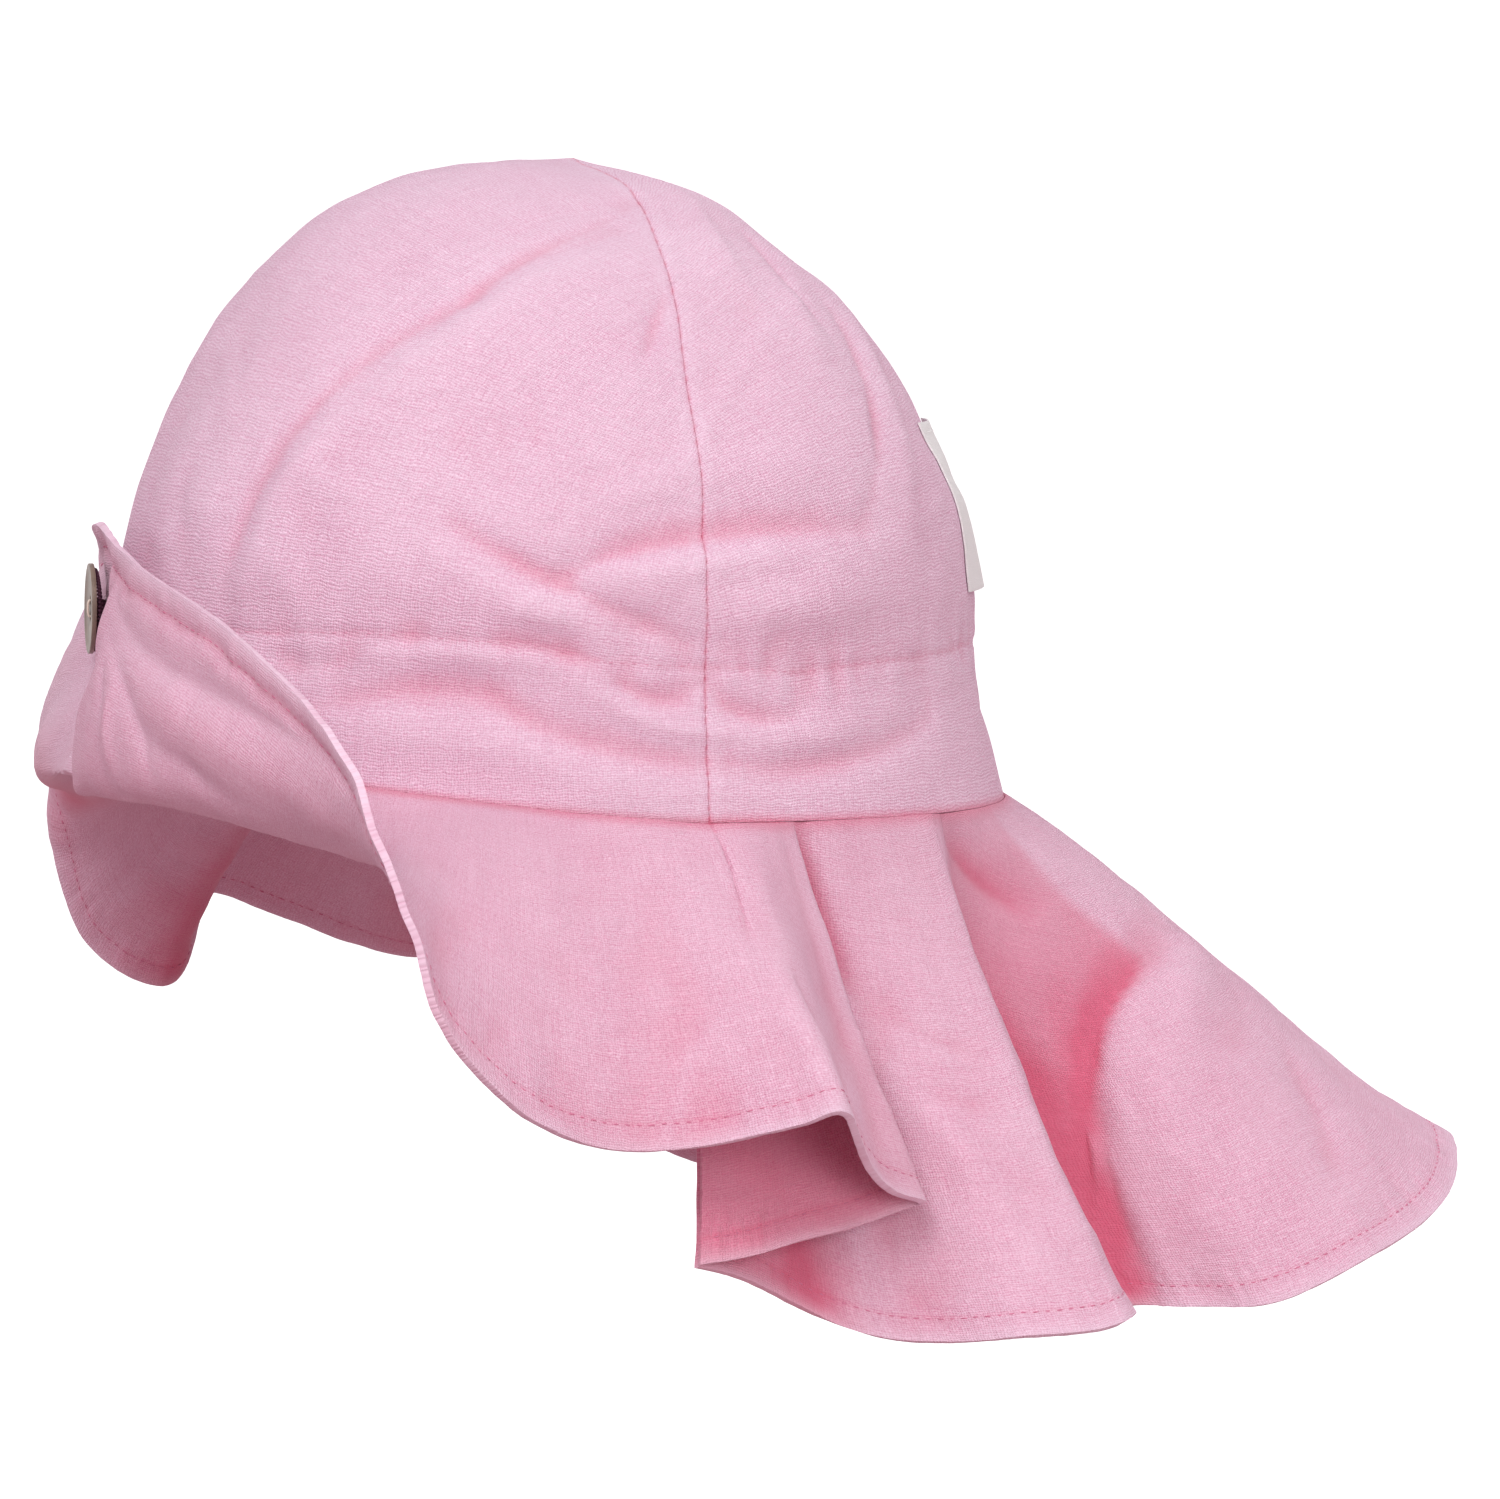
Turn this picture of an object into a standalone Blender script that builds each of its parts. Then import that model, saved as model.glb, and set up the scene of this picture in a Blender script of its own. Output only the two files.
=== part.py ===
"""Sun hat for a baby: soft linen crown, turned-up buttoned brim and fluted neck flap.

Metres, +Z up. The origin is the middle of the head opening, level with the band seam
where it meets the ear-to-ear seam. The front is -Y and the wearer's left is +X.
All tables are in millimetres and degrees; "around" is the angle from the front,
positive towards the wearer's left.
"""
import math

import bmesh
import bpy
import numpy as np
from mathutils import Matrix, Vector
from mathutils.bvhtree import BVHTree

MM = 0.001
HEAD_SIDE = 72.0
HEAD_FRONT = 95.0
HEAD_BACK = 76.5
CROWN_HEIGHT = 118.0
CLOTH = 1.0
GAP = 0.3
BAND_DROP = 0.8
LAYER = 1.4
BUTTON_DIAMETER = 16.6
BUTTON_THICKNESS = 1.3
BUTTON_UP = 35.5
BUTTON_TURN = -6.0
BUTTON_SEAT = 0.7
THREAD_RADIUS = 6.2
LABEL_WIDTH = 28.0
LABEL_LOW = 37.5
LABEL_HIGH = 69.0
LABEL_AROUND = 165.0
LABEL_NEAR_LIFT = 0.8
LABEL_FAR_LIFT_LOW = 4.2
LABEL_FAR_LIFT_HIGH = 3.0
EAR = 90.0
# The point of the band's front face that the button is set out from.
BUTTON_BASE = Vector((0.0, -HEAD_FRONT * MM, BUTTON_UP * MM))

# Crown profile from the band seam to the apex, at the side, the front and the back.
CROWN_ROWS = (
    # side_out, side_up, front_out, front_up, back_out, back_up
    (HEAD_SIDE, 0.0, HEAD_FRONT, 12.0, HEAD_BACK, -2.0),
    (71.0, 13.0, 94.0, 21.0, 73.0, 11.5),
    (69.5, 28.0, 92.5, 33.5, 70.0, 25.5),
    (71.0, 42.0, 90.0, 46.0, 69.5, 38.0),
    (68.0, 57.0, 86.0, 61.0, 66.0, 55.0),
    (61.5, 74.0, 78.5, 77.0, 58.5, 72.0),
    (51.0, 90.5, 68.5, 93.5, 47.5, 88.5),
    (37.0, 104.0, 52.5, 108.0, 33.5, 101.5),
    (20.0, 114.0, 31.0, 116.5, 17.0, 112.0),
    (0.0, CROWN_HEIGHT, 0.0, CROWN_HEIGHT, 0.0, CROWN_HEIGHT),
)

# Skirt sections. Each row is one line of the sheet from the band seam to the hem, a curve
# with two control points. "layer" counts how many cloths it lies outside the innermost one
# at the band, and "steps" is how many mesh columns lead to the next row.
BRIM_ROWS = (
    # around, layer, near_out, near_up, far_out, far_up, hem_around, hem_out, hem_up, steps
    (0, 0, 19, -13, -10, 28, 0, 1.2, 51, 2),
    (6, 0, 19, -12, -9, 27, 6, 1.4, 50.5, 2),
    (11.5, 0, 18, -10, 12, 13, 13, 3, 48, 2),
    (20, 0, 17, -5, 27, 7, 22.5, 8.5, 46, 2),
    (33, 0, 19, -3, 35, 3, 36, 20, 41, 2),
    (42, 0, 20, -5, 40, 0, 45, 31, 35, 2),
    (49, 0, 20, -7, 44, -3, 53, 43, 25, 2),
    (54, 0, 21, -8, 45, -6, 57.5, 53.5, 15, 2),
    (58, 0, 22, -7, 44, -7, 60, 60, 3, 2),
    (61, 0, 22, -6, 44, -12, 62.5, 61, -11.5, 2),
    (64, 0, 22, -5, 44, -18, 64.5, 58, -29, 2),
    (68, 0, 21, -6, 42, -25, 69.5, 49, -44, 2),
    (74, 0.3, 18, -10, 36, -30, 76, 41, -51.5, 2),
    (81, 1, 16, -13, 32, -34, 84, 39, -52, 2),
    (88, 2, 16, -12, 34, -30, 91, 46, -48, 2),
    (93, 2, 16, -12, 34, -28, 94.5, 49, -46, 2),
    (97, 2, 13, -17, 28, -38, 99, 37, -56.5, 1),
    (99, 2, 10, -20, 22, -42, 103, 33, -62.5, 1),
    (101, 1.5, 8, -21, 19, -42, 107.5, 30.5, -65.5, 1),
    (99, 1, 6, -22, 16, -44, 107, 27, -67, 1),
    (96, 1, 7, -22, 16, -46, 101, 25, -70, 1),
    (93, 1, 8, -23, 18, -49, 95, 26, -71.5, 1),
    (90.5, 1, 9, -24, 21, -51, 89, 30, -73, 1),
    (88.5, 1, 10, -25, 23, -52, 84.5, 33, -73.5, 1),
)
FAR_BRIM_ROWS = (
    # around, layer, near_out, near_up, far_out, far_up, hem_around, hem_out, hem_up, steps
    (0, 0, 19, -13, -10, 28, 0, 1.2, 51, 2),
    (-6.5, 0, 19.5, -12, -11, 28, -6.5, 0, 49, 2),
    (-12, 0, 17, -10, 7, 16, -12, -2, 46, 2),
    (-17, 0, 18, -9, 16, 9, -17, -1.6, 42.5, 2),
    (-25, 0, 19, -9, 24, 3, -25, 1.5, 38, 2),
    (-32, 0, 20, -11, 32, -4, -32, 9, 34, 2),
    (-38, 0, 20, -11, 36, -10, -38, 17, 25, 2),
    (-43, 0, 20, -10, 39, -14, -43, 28, 13, 2),
    (-47, 0, 20, -8, 41, -16, -47, 40, -1, 2),
    (-51, 0, 20, -6, 42, -19, -50.5, 48, -18, 2),
    (-56, 0, 19, -6, 40, -25, -54, 50, -36, 2),
    (-60, 0, 18, -8, 36, -28, -58, 47, -45, 2),
    (-64, 0, 18, -10, 34, -28, -62, 45, -47.5, 2),
    (-68, 0, 20, -6, 42, -20, -66, 50, -41, 2),
    (-72, 0.3, 20, -4, 44, -14, -69, 58, -31, 2),
    (-78, 0.8, 18, -7, 40, -20, -76, 54, -37, 2),
    (-85, 1.5, 16, -11, 34, -30, -86, 49, -45, 2),
    (-92, 2, 16, -12, 34, -28, -98, 49, -44, 2),
    (-97, 2, 13, -17, 28, -38, -108, 37, -54, 1),
    (-99, 2, 10, -20, 22, -42, -114, 33, -60, 1),
    (-101, 1.5, 8, -21, 19, -42, -118, 31, -62, 1),
    (-99, 1, 6, -22, 16, -44, -117, 27.5, -64, 1),
    (-96, 1, 7, -22, 16, -46, -113, 25, -67, 1),
    (-93, 1, 8, -23, 18, -49, -109, 26, -69, 1),
    (-90.5, 1, 9, -24, 21, -51, -104, 30, -70.5, 1),
    (-88.5, 1, 10, -25, 23, -52, -101, 33, -71, 1),
)
FLAP_ROWS = (
    # around, layer, near_out, near_up, far_out, far_up, hem_around, hem_out, hem_up, steps
    (88.5, 0, 8.7, -25.6, 21.7, -52.6, 84.5, 31.7, -74.1, 1),
    (91, 0, 6, -28, 15, -56, 89, 26, -77.5, 2),
    (95.5, 0, 5, -30, 12, -60, 97, 21, -85, 2),
    (101, 0, 5, -32, 14, -62, 103.5, 27, -89.5, 2),
    (108, 0, 6, -33, 16, -63, 108.5, 35, -90, 2),
    (115, 0, 9, -32, 26, -60, 113, 46, -88.5, 2),
    (122, 0, 10, -30, 30, -58, 119, 52, -88, 2),
    (127, 0, 10, -30, 29, -58, 123, 51, -87, 2),
    (131, 0, 7, -32, 20, -60, 130, 39, -88.5, 2),
    (136, 0, 5, -33, 14, -62, 138, 31, -91, 2),
    (142, 0, 8, -32, 22, -60, 140, 45, -91, 2),
    (149, 0, 14, -28, 40, -56, 141, 59, -89.5, 2),
    (157, 0, 24, -24, 52, -52, 147, 72, -83, 2),
    (166, 0, 28, -20, 57, -52, 156, 82, -77, 2),
    (175, 0, 30, -20, 58, -52, 167, 87, -71, 2),
    (180, 0, 30, -20, 58, -52, 178, 88, -70, 2),
    (188, 0, 30, -20, 58, -52, 190, 87, -72, 2),
    (196, 0, 27, -21, 55, -52, 199, 79, -77, 2),
    (203, 0, 20, -26, 44, -53, 206, 65, -85, 2),
    (210, 0, 12, -29, 30, -57, 211, 50, -89, 2),
    (216, 0, 6, -33, 17, -61, 216, 37, -90, 2),
    (221, 0, 6, -33, 18, -61, 220, 38, -89, 2),
    (228, 0, 10, -31, 28, -58, 226, 49, -87.5, 2),
    (236, 0, 9, -31, 25, -59, 232, 46, -87, 2),
    (245, 0, 6, -32, 15, -62, 238, 32, -87, 2),
    (254, 0, 5, -32, 12, -61, 243, 24, -86, 2),
    (262, 0, 5, -31, 11, -58, 249, 20.5, -81, 2),
    (268, 0, 6, -28, 15, -55, 255, 26, -74, 1),
    (271.5, 0, 8.7, -25.6, 21.7, -52.6, 259, 31.7, -71.6, 1),
)

# Soft folds in the crown's cloth, each a line between two places on the crown.
# A place is degrees around and crown row; a ridge has a positive depth, a dent a negative one.
CROWN_FOLDS = (
    # around_a, row_a, around_b, row_b, half_width, depth
    (84, 7.8, 55, 6.0, 7, 1.1),
    (55, 6.0, 23, 3.2, 8, 1.3),
    (70, 6.4, 42, 4.2, 9, -1.0),
    (76, 3.9, 101, 3.5, 5, -1.2),
    (68, 3.3, 77, 2.8, 5, -1.0),
    (82, 2.55, 98, 2.05, 5, -1.0),
    (112, 5.2, 128, 4.3, 7, -1.1),
    (121, 6.9, 133, 5.6, 6, -1.0),
    (-40, 4.6, -70, 6.6, 9, 1.2),
    (-75, 3.4, -105, 3.8, 6, -1.2),
    (-120, 6.6, -136, 5.2, 7, -1.1),
    (10, 6.2, 2, 3.6, 10, -1.0),
)
# Soft folds in the turned-up brim. A place is degrees around and the share of the way
# from the band seam to the hem.
BRIM_FOLDS = (
    # around_a, down_a, around_b, down_b, half_width, depth
    (4, 0.72, 26, 0.42, 4.5, -1.8),
    (14, 0.74, 42, 0.56, 6, 1.0),
    (12, 0.85, 34, 0.78, 5, -0.9),
    (-6, 0.74, -26, 0.56, 6, -1.2),
    (71, 0.2, 76, 0.75, 6, -0.9),
    (82, 0.3, 84, 0.85, 7, 1.0),
)
# The flap's crest behind the ear, the deep valley beside it, and a dent behind that.
FLAP_FOLDS = (
    # around_a, down_a, around_b, down_b, half_width, depth
    (125, 0.15, 124.5, 0.95, 6, 1.0),
    (133, 0.2, 138, 0.98, 6, -2.5),
    (134, 0.32, 158, 0.4, 5, -1.8),
)


def clear_scene():
    for item in list(bpy.data.objects):
        bpy.data.objects.remove(item, do_unlink=True)


def spline(rows, at):
    """A smooth curve through the rows; `at` counts rows and may be fractional."""
    last = len(rows) - 1
    at = min(max(at, 0.0), float(last))
    low = min(int(at), last - 1)
    share = at - low
    start = np.array(rows[low], float)
    end = np.array(rows[low + 1], float)
    before = np.array(rows[low - 1], float) if low > 0 else 2 * start - end
    after = np.array(rows[low + 2], float) if low + 2 <= last else 2 * end - start
    linear = end - before
    square = 2 * before - 5 * start + 4 * end - after
    cubic = 3 * start - before - 3 * end + after
    return 0.5 * (2 * start + linear * share + square * share**2 + cubic * share**3)


def crown_point(around, row):
    """A point of the crown's outer face, in millimetres."""
    side_out, side_up, front_out, front_up, back_out, back_up = spline(CROWN_ROWS, row)
    turn = math.radians(around)
    cosine = math.cos(turn)
    end_out = front_out if cosine > 0 else back_out
    end_up = front_up if cosine > 0 else back_up
    lift = abs(cosine) ** 1.3
    return np.array((
        side_out * math.sin(turn),
        -end_out * cosine,
        side_up + (end_up - side_up) * lift,
    ))


def band_outward(around):
    """The level direction square to the band seam, away from the head."""
    step = 0.01
    along = crown_point(around + step, 0) - crown_point(around - step, 0)
    outward = np.array((along[1], -along[0], 0.0))
    outward /= np.linalg.norm(outward)
    place = crown_point(around, 0)
    return outward if outward[0] * place[0] + outward[1] * place[1] > 0 else -outward


def skirt_point(rows, at, down):
    """A point of the skirt's middle surface; `down` runs from the band (0) to the hem (1)."""
    row = spline([line[:9] for line in rows], at)
    around, layer, near_out, near_up, far_out, far_up, hem_around, hem_out, hem_up = row
    up = 1 - down
    layer_out = layer * LAYER * up**3
    out = layer_out + 3 * down * up**2 * near_out + 3 * down**2 * up * far_out + down**3 * hem_out
    band_up = crown_point(around, 0)[2] - BAND_DROP
    height = (band_up * up**3 + 3 * down * up**2 * near_up
              + 3 * down**2 * up * far_up + down**3 * hem_up)
    turn = around + (hem_around - around) * down
    point = crown_point(turn, 0) + band_outward(turn) * out
    point[2] = height
    return point


def stations(rows):
    """Row positions of the mesh columns, from each row's number of steps."""
    places = []
    for index, row in enumerate(rows[:-1]):
        steps = row[-1]
        places += [index + step / steps for step in range(steps)]
    return places + [len(rows) - 1]


def grid_sheet(columns, levels, place):
    """A grid bent so that its vertex in column c and level l lies at place(c, l)."""
    sheet = bmesh.new()
    bmesh.ops.create_grid(sheet, x_segments=columns, y_segments=levels, size=0.5)
    for vertex in sheet.verts:
        column = round((vertex.co.x + 0.5) * columns)
        level = round((vertex.co.y + 0.5) * levels)
        vertex.co = Vector(place(column, level) * MM)
    bmesh.ops.remove_doubles(sheet, verts=sheet.verts, dist=1e-6)
    sheet.normal_update()
    return sheet


def press_folds(sheet, folds, place):
    """Moves the sheet along its normals by the soft ridges and dents in the table."""
    moves = {}
    for around_a, down_a, around_b, down_b, half_width, depth in folds:
        start = Vector(place(around_a, down_a) * MM)
        end = Vector(place(around_b, down_b) * MM)
        run = end - start
        for vertex in sheet.verts:
            share = (vertex.co - start).dot(run) / run.length_squared
            nearest = start + run * min(max(share, 0.0), 1.0)
            reach = (vertex.co - nearest).length / (half_width * MM)
            push = depth * MM * math.exp(-reach * reach)
            moves[vertex] = moves.get(vertex, 0.0) + push
    for vertex, push in moves.items():
        vertex.co += vertex.normal * push
    sheet.normal_update()


def material(name, colour, roughness):
    finish = bpy.data.materials.new(name)
    finish.use_nodes = True
    shader = finish.node_tree.nodes["Principled BSDF"]
    shader.inputs["Base Color"].default_value = (*colour, 1.0)
    shader.inputs["Roughness"].default_value = roughness
    shader.inputs["Metallic"].default_value = 0.0
    return finish


def add_object(name, sheet, finish, collection):
    mesh = bpy.data.meshes.new(name)
    sheet.to_mesh(mesh)
    sheet.free()
    mesh.materials.append(finish)
    item = bpy.data.objects.new(name, mesh)
    collection.objects.link(item)
    return item


def thicken(item, thickness, offset):
    wall = item.modifiers.new("wall", "SOLIDIFY")
    wall.thickness = thickness * MM
    wall.offset = offset
    wall.use_quality_normals = True


def crown_panel(name, first, last, columns, levels, setback, collection, finish):
    """One panel of the crown; `setback` keeps it clear of the ear-to-ear seam."""
    top = len(CROWN_ROWS) - 1

    def place(column, level):
        share = level / levels
        row = top * (1 - (1 - share) ** 1.12)
        point = crown_point(first + (last - first) * column / columns, row)
        point[1] += setback
        return point

    sheet = grid_sheet(columns, levels, place)
    press_folds(sheet, CROWN_FOLDS, crown_point)
    item = add_object(name, sheet, finish, collection)
    item.data.shade_smooth()
    thicken(item, CLOTH, -1.0)
    return item


def skirt(name, rows, levels, folds, collection, finish):
    """The brim or the flap: one sheet from the band seam to the hem, with its pleats."""
    columns = stations(rows)

    def place(column, level):
        return skirt_point(rows, columns[column], 1 - level / levels)

    def fold_place(around, down):
        angles = [row[0] for row in rows]
        outer = angles.index(max(angles))
        side = range(outer)
        at = next((i + (around - angles[i]) / (angles[i + 1] - angles[i]) for i in side
                   if angles[i] <= around <= angles[i + 1]), 0)
        return skirt_point(rows, at, down)

    sheet = grid_sheet(len(columns) - 1, levels, place)
    press_folds(sheet, folds, fold_place)
    item = add_object(name, sheet, finish, collection)
    item.data.shade_smooth()
    thicken(item, CLOTH, 0.0)
    return item


def brim_rows():
    """The brim's rows in one list, from the far inner fold round the front to the near one."""
    far = list(reversed(FAR_BRIM_ROWS))
    turned = [row[:9] + (after[9],) for row, after in zip(far[:-1], far[1:])]
    return turned + list(BRIM_ROWS)


def solid_tree(item):
    """A search tree over the item's evaluated surface."""
    graph = bpy.context.evaluated_depsgraph_get()
    return BVHTree.FromObject(item, graph)


def button_frame():
    """Turns the button's own +Z to face the front, a little towards the wearer's right."""
    return Matrix.Rotation(math.radians(BUTTON_TURN), 3, "Z") @ Matrix.Rotation(math.radians(90), 3, "X")


def cloth_reach(tree, facing, across, up):
    """How far out along the facing direction the turned-up cloth lies at one place."""
    start = BUTTON_BASE + facing @ Vector((across * MM, up * MM, 0.1))
    hit = tree.ray_cast(start, facing @ Vector((0, 0, -1)))[0]
    return (hit - BUTTON_BASE).dot(facing @ Vector((0, 0, 1))) / MM if hit else -math.inf


def ring_places(radius, rings, spokes):
    """Places across a disc, ring by ring."""
    places = [(0.0, 0.0)]
    for ring in range(1, rings + 1):
        for spoke in range(spokes):
            turn = 2 * math.pi * spoke / spokes
            reach = radius * ring / rings
            places.append((reach * math.cos(turn), reach * math.sin(turn)))
    return places


def button(collection, cutters, finish, seat):
    """A turned disc with a low rim and two thread holes."""
    radius = BUTTON_DIAMETER / 2
    profile = (
        (0.0, BUTTON_THICKNESS - 0.45),
        (radius - 2.2, BUTTON_THICKNESS - 0.45),
        (radius - 1.4, BUTTON_THICKNESS - 0.05),
        (radius - 0.7, BUTTON_THICKNESS),
        (radius - 0.15, BUTTON_THICKNESS - 0.4),
        (radius, BUTTON_THICKNESS / 2),
        (radius - 0.4, 0.25),
        (radius - 1.2, 0.0),
        (0.0, 0.0),
    )
    sheet = bmesh.new()
    points = [sheet.verts.new((out * MM, 0, up * MM)) for out, up in profile]
    for first, second in zip(points, points[1:]):
        sheet.edges.new((first, second))
    item = add_object("button", sheet, finish, collection)
    turned = item.modifiers.new("turned", "SCREW")
    turned.steps = 28
    turned.render_steps = 28
    turned.use_merge_vertices = True
    turned.merge_threshold = 0.00001
    facing = button_frame()
    centre = BUTTON_BASE + facing @ Vector((0, 0, seat * MM))
    item.matrix_world = Matrix.Translation(centre) @ facing.to_4x4()
    for number, side in enumerate((-1, 1)):
        hole = bmesh.new()
        bmesh.ops.create_cone(hole, cap_ends=True, segments=12, radius1=0.9 * MM, radius2=0.9 * MM, depth=8 * MM)
        cutter = add_object(f"button_hole_{number}", hole, finish, cutters)
        cutter.matrix_world = item.matrix_world @ Matrix.Translation((0, side * 1.5 * MM, 0))
        cutter.hide_render = True
        cutter.display_type = "WIRE"
        cut = item.modifiers.new(f"hole_{number}", "BOOLEAN")
        cut.operation = "DIFFERENCE"
        cut.object = cutter
    return item


def button_thread(collection, finish, tree, facing, seat):
    """The wound thread between button and cloth: a disc whose back follows the cloth."""
    wedge = bmesh.new()
    bmesh.ops.create_cone(wedge, cap_ends=True, cap_tris=True, segments=20,
                          radius1=THREAD_RADIUS * MM, radius2=THREAD_RADIUS * MM, depth=2 * MM)
    front = seat - GAP
    for vertex in wedge.verts:
        across, up = vertex.co.x / MM, vertex.co.y / MM
        if vertex.co.z > 0:
            out = front
        else:
            out = min(cloth_reach(tree, facing, across, up) + GAP, front - GAP)
            out = max(out, front - 2.2)
        vertex.co = BUTTON_BASE + facing @ Vector((vertex.co.x, vertex.co.y, out * MM))
    wedge.normal_update()
    return add_object("button_thread", wedge, finish, collection)


def label(collection, finish):
    """The small flat label at the back of the crown; its far edge stands off the cloth."""
    columns, levels = 4, 8
    outward = band_outward(LABEL_AROUND)
    far_side = np.array((-outward[1], outward[0], 0.0))

    def place(column, level):
        across, rise = column / columns, level / levels
        height = LABEL_LOW + (LABEL_HIGH - LABEL_LOW) * rise
        row = next(step / 50 for step in range(50 * len(CROWN_ROWS))
                   if crown_point(LABEL_AROUND, step / 50)[2] >= height)
        far_lift = LABEL_FAR_LIFT_LOW + (LABEL_FAR_LIFT_HIGH - LABEL_FAR_LIFT_LOW) * rise
        lift = LABEL_NEAR_LIFT + (far_lift - LABEL_NEAR_LIFT) * across
        spot = crown_point(LABEL_AROUND, row) + far_side * LABEL_WIDTH * (across - 0.5) + outward * lift
        return np.array((spot[0], spot[1], height))

    item = add_object("label", grid_sheet(columns, levels, place), finish, collection)
    item.data.shade_smooth()
    thicken(item, CLOTH, 0.0)
    return item


def main():
    clear_scene()
    scene = bpy.context.scene
    parts = bpy.data.collections.new("sun_hat")
    cutters = bpy.data.collections.new("cutters")
    scene.collection.children.link(parts)
    scene.collection.children.link(cutters)

    linen = (0.72, 0.42, 0.55)
    crown_panel("crown_front", -EAR, EAR, 30, 16, -GAP, parts, material("front_linen", linen, 0.9))
    crown_panel("crown_back", EAR, 3 * EAR, 26, 16, GAP, parts, material("back_linen", linen, 0.9))
    brim = skirt("brim", brim_rows(), 9, BRIM_FOLDS, parts, material("brim_linen", linen, 0.9))
    skirt("neck_flap", FLAP_ROWS, 9, FLAP_FOLDS, parts, material("flap_linen", linen, 0.9))

    tree = solid_tree(brim)
    facing = button_frame()
    places = ring_places(BUTTON_DIAMETER / 2, 4, 24)
    seat = max(cloth_reach(tree, facing, across, up) for across, up in places) + BUTTON_SEAT
    button(parts, cutters, material("button_shell", (0.19, 0.15, 0.12), 0.45), seat)
    button_thread(parts, material("dark_thread", (0.09, 0.03, 0.05), 0.8), tree, facing, seat)
    label(parts, material("label_white", (0.8, 0.8, 0.78), 0.7))


main()
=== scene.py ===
import math

import bmesh
import bpy
import numpy as np
from mathutils import Matrix, Vector, noise
from mathutils.bvhtree import BVHTree


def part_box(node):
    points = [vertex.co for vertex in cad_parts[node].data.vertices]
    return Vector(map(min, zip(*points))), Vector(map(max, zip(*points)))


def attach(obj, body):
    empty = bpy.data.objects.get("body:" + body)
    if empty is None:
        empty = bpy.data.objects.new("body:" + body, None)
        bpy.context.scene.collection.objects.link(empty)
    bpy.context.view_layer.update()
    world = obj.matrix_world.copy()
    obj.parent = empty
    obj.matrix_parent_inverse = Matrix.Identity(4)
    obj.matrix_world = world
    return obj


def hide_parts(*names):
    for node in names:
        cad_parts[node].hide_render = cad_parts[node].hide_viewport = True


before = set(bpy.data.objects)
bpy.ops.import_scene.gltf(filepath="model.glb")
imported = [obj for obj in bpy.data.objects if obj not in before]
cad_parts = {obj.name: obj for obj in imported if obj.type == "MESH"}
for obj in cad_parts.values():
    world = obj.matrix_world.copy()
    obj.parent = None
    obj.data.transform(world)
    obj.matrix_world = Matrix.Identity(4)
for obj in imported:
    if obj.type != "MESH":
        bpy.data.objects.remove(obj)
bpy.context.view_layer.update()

# The view: a product picture of the hat before a pale sweep, seen from its left side, a
# little from the front and from above, in soft light that comes from the upper left.
LOOK_AT = Vector((0.0, 0.0295, 0.0063))
CAMERA_DISTANCE = 1.2
CAMERA_TURN = math.radians(17.0)
CAMERA_RAISE = math.radians(5.0)
CAMERA_LENS = 151.8
FLOOR_HEIGHT = -0.3
SWEEP_SIZE = 7.0

to_camera = Vector((
    math.cos(CAMERA_TURN) * math.cos(CAMERA_RAISE),
    -math.sin(CAMERA_TURN) * math.cos(CAMERA_RAISE),
    math.sin(CAMERA_RAISE),
))
camera = bpy.data.objects.new("camera", bpy.data.cameras.new("camera"))
camera.data.lens = CAMERA_LENS
camera.location = LOOK_AT + to_camera * CAMERA_DISTANCE
camera.rotation_euler = to_camera.to_track_quat("Z", "Y").to_euler()
bpy.context.scene.collection.objects.link(camera)
bpy.context.scene.camera = camera
bpy.context.scene.view_settings.view_transform = "Standard"


def area_light(name, place, width, power, colour):
    """A soft square light that faces the hat."""
    lamp = bpy.data.lights.new(name, "AREA")
    lamp.energy = power
    lamp.size = width
    lamp.color = colour
    holder = bpy.data.objects.new(name, lamp)
    holder.location = place
    holder.rotation_euler = (Vector(place) - LOOK_AT).to_track_quat("Z", "Y").to_euler()
    bpy.context.scene.collection.objects.link(holder)


area_light("key_light", (1.05, -0.85, 1.3), 0.8, 15.5, (1.0, 0.99, 0.985))
area_light("side_light", (1.7, 0.35, 0.35), 1.0, 12.0, (1.0, 0.99, 0.99))
area_light("front_light", (0.5, -1.7, -0.05), 0.9, 2.6, (0.84, 0.9, 1.0))
area_light("back_light", (-0.8, 0.9, 1.2), 0.9, 4.0, (0.97, 0.98, 1.0))

world = bpy.data.worlds.new("pale_room")
world.use_nodes = True
room = world.node_tree
room_direction = room.nodes.new("ShaderNodeTexCoord")
room_height = room.nodes.new("ShaderNodeSeparateXYZ")
room_brightness = room.nodes.new("ShaderNodeMapRange")
room_brightness.inputs["From Min"].default_value = -0.6
room_brightness.inputs["From Max"].default_value = 0.9
room_brightness.inputs["To Min"].default_value = 0.0
room_brightness.inputs["To Max"].default_value = 1.0
room_light = room.nodes.new("ShaderNodeMix")
room_light.data_type = "RGBA"
room_light_ends = [socket for socket in room_light.inputs if socket.type == "RGBA"]
room_light_ends[0].default_value = (0.42, 0.22, 0.25, 1.0)
room_light_ends[1].default_value = (0.55, 0.56, 0.57, 1.0)
room.links.new(room_direction.outputs["Generated"], room_height.inputs["Vector"])
room.links.new(room_height.outputs["Z"], room_brightness.inputs["Value"])
room.links.new(room_brightness.outputs["Result"], room_light.inputs["Factor"])
room_light_result = next(socket for socket in room_light.outputs if socket.type == "RGBA")
room_seen = room.nodes.new("ShaderNodeMix")
room_seen.data_type = "RGBA"
room_seen_ends = [socket for socket in room_seen.inputs if socket.type == "RGBA"]
room_seen_ends[1].default_value = (0.9, 0.9, 0.9, 1.0)
room.links.new(room.nodes.new("ShaderNodeLightPath").outputs["Is Camera Ray"], room_seen.inputs["Factor"])
room.links.new(room_light_result, room_seen_ends[0])
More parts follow.
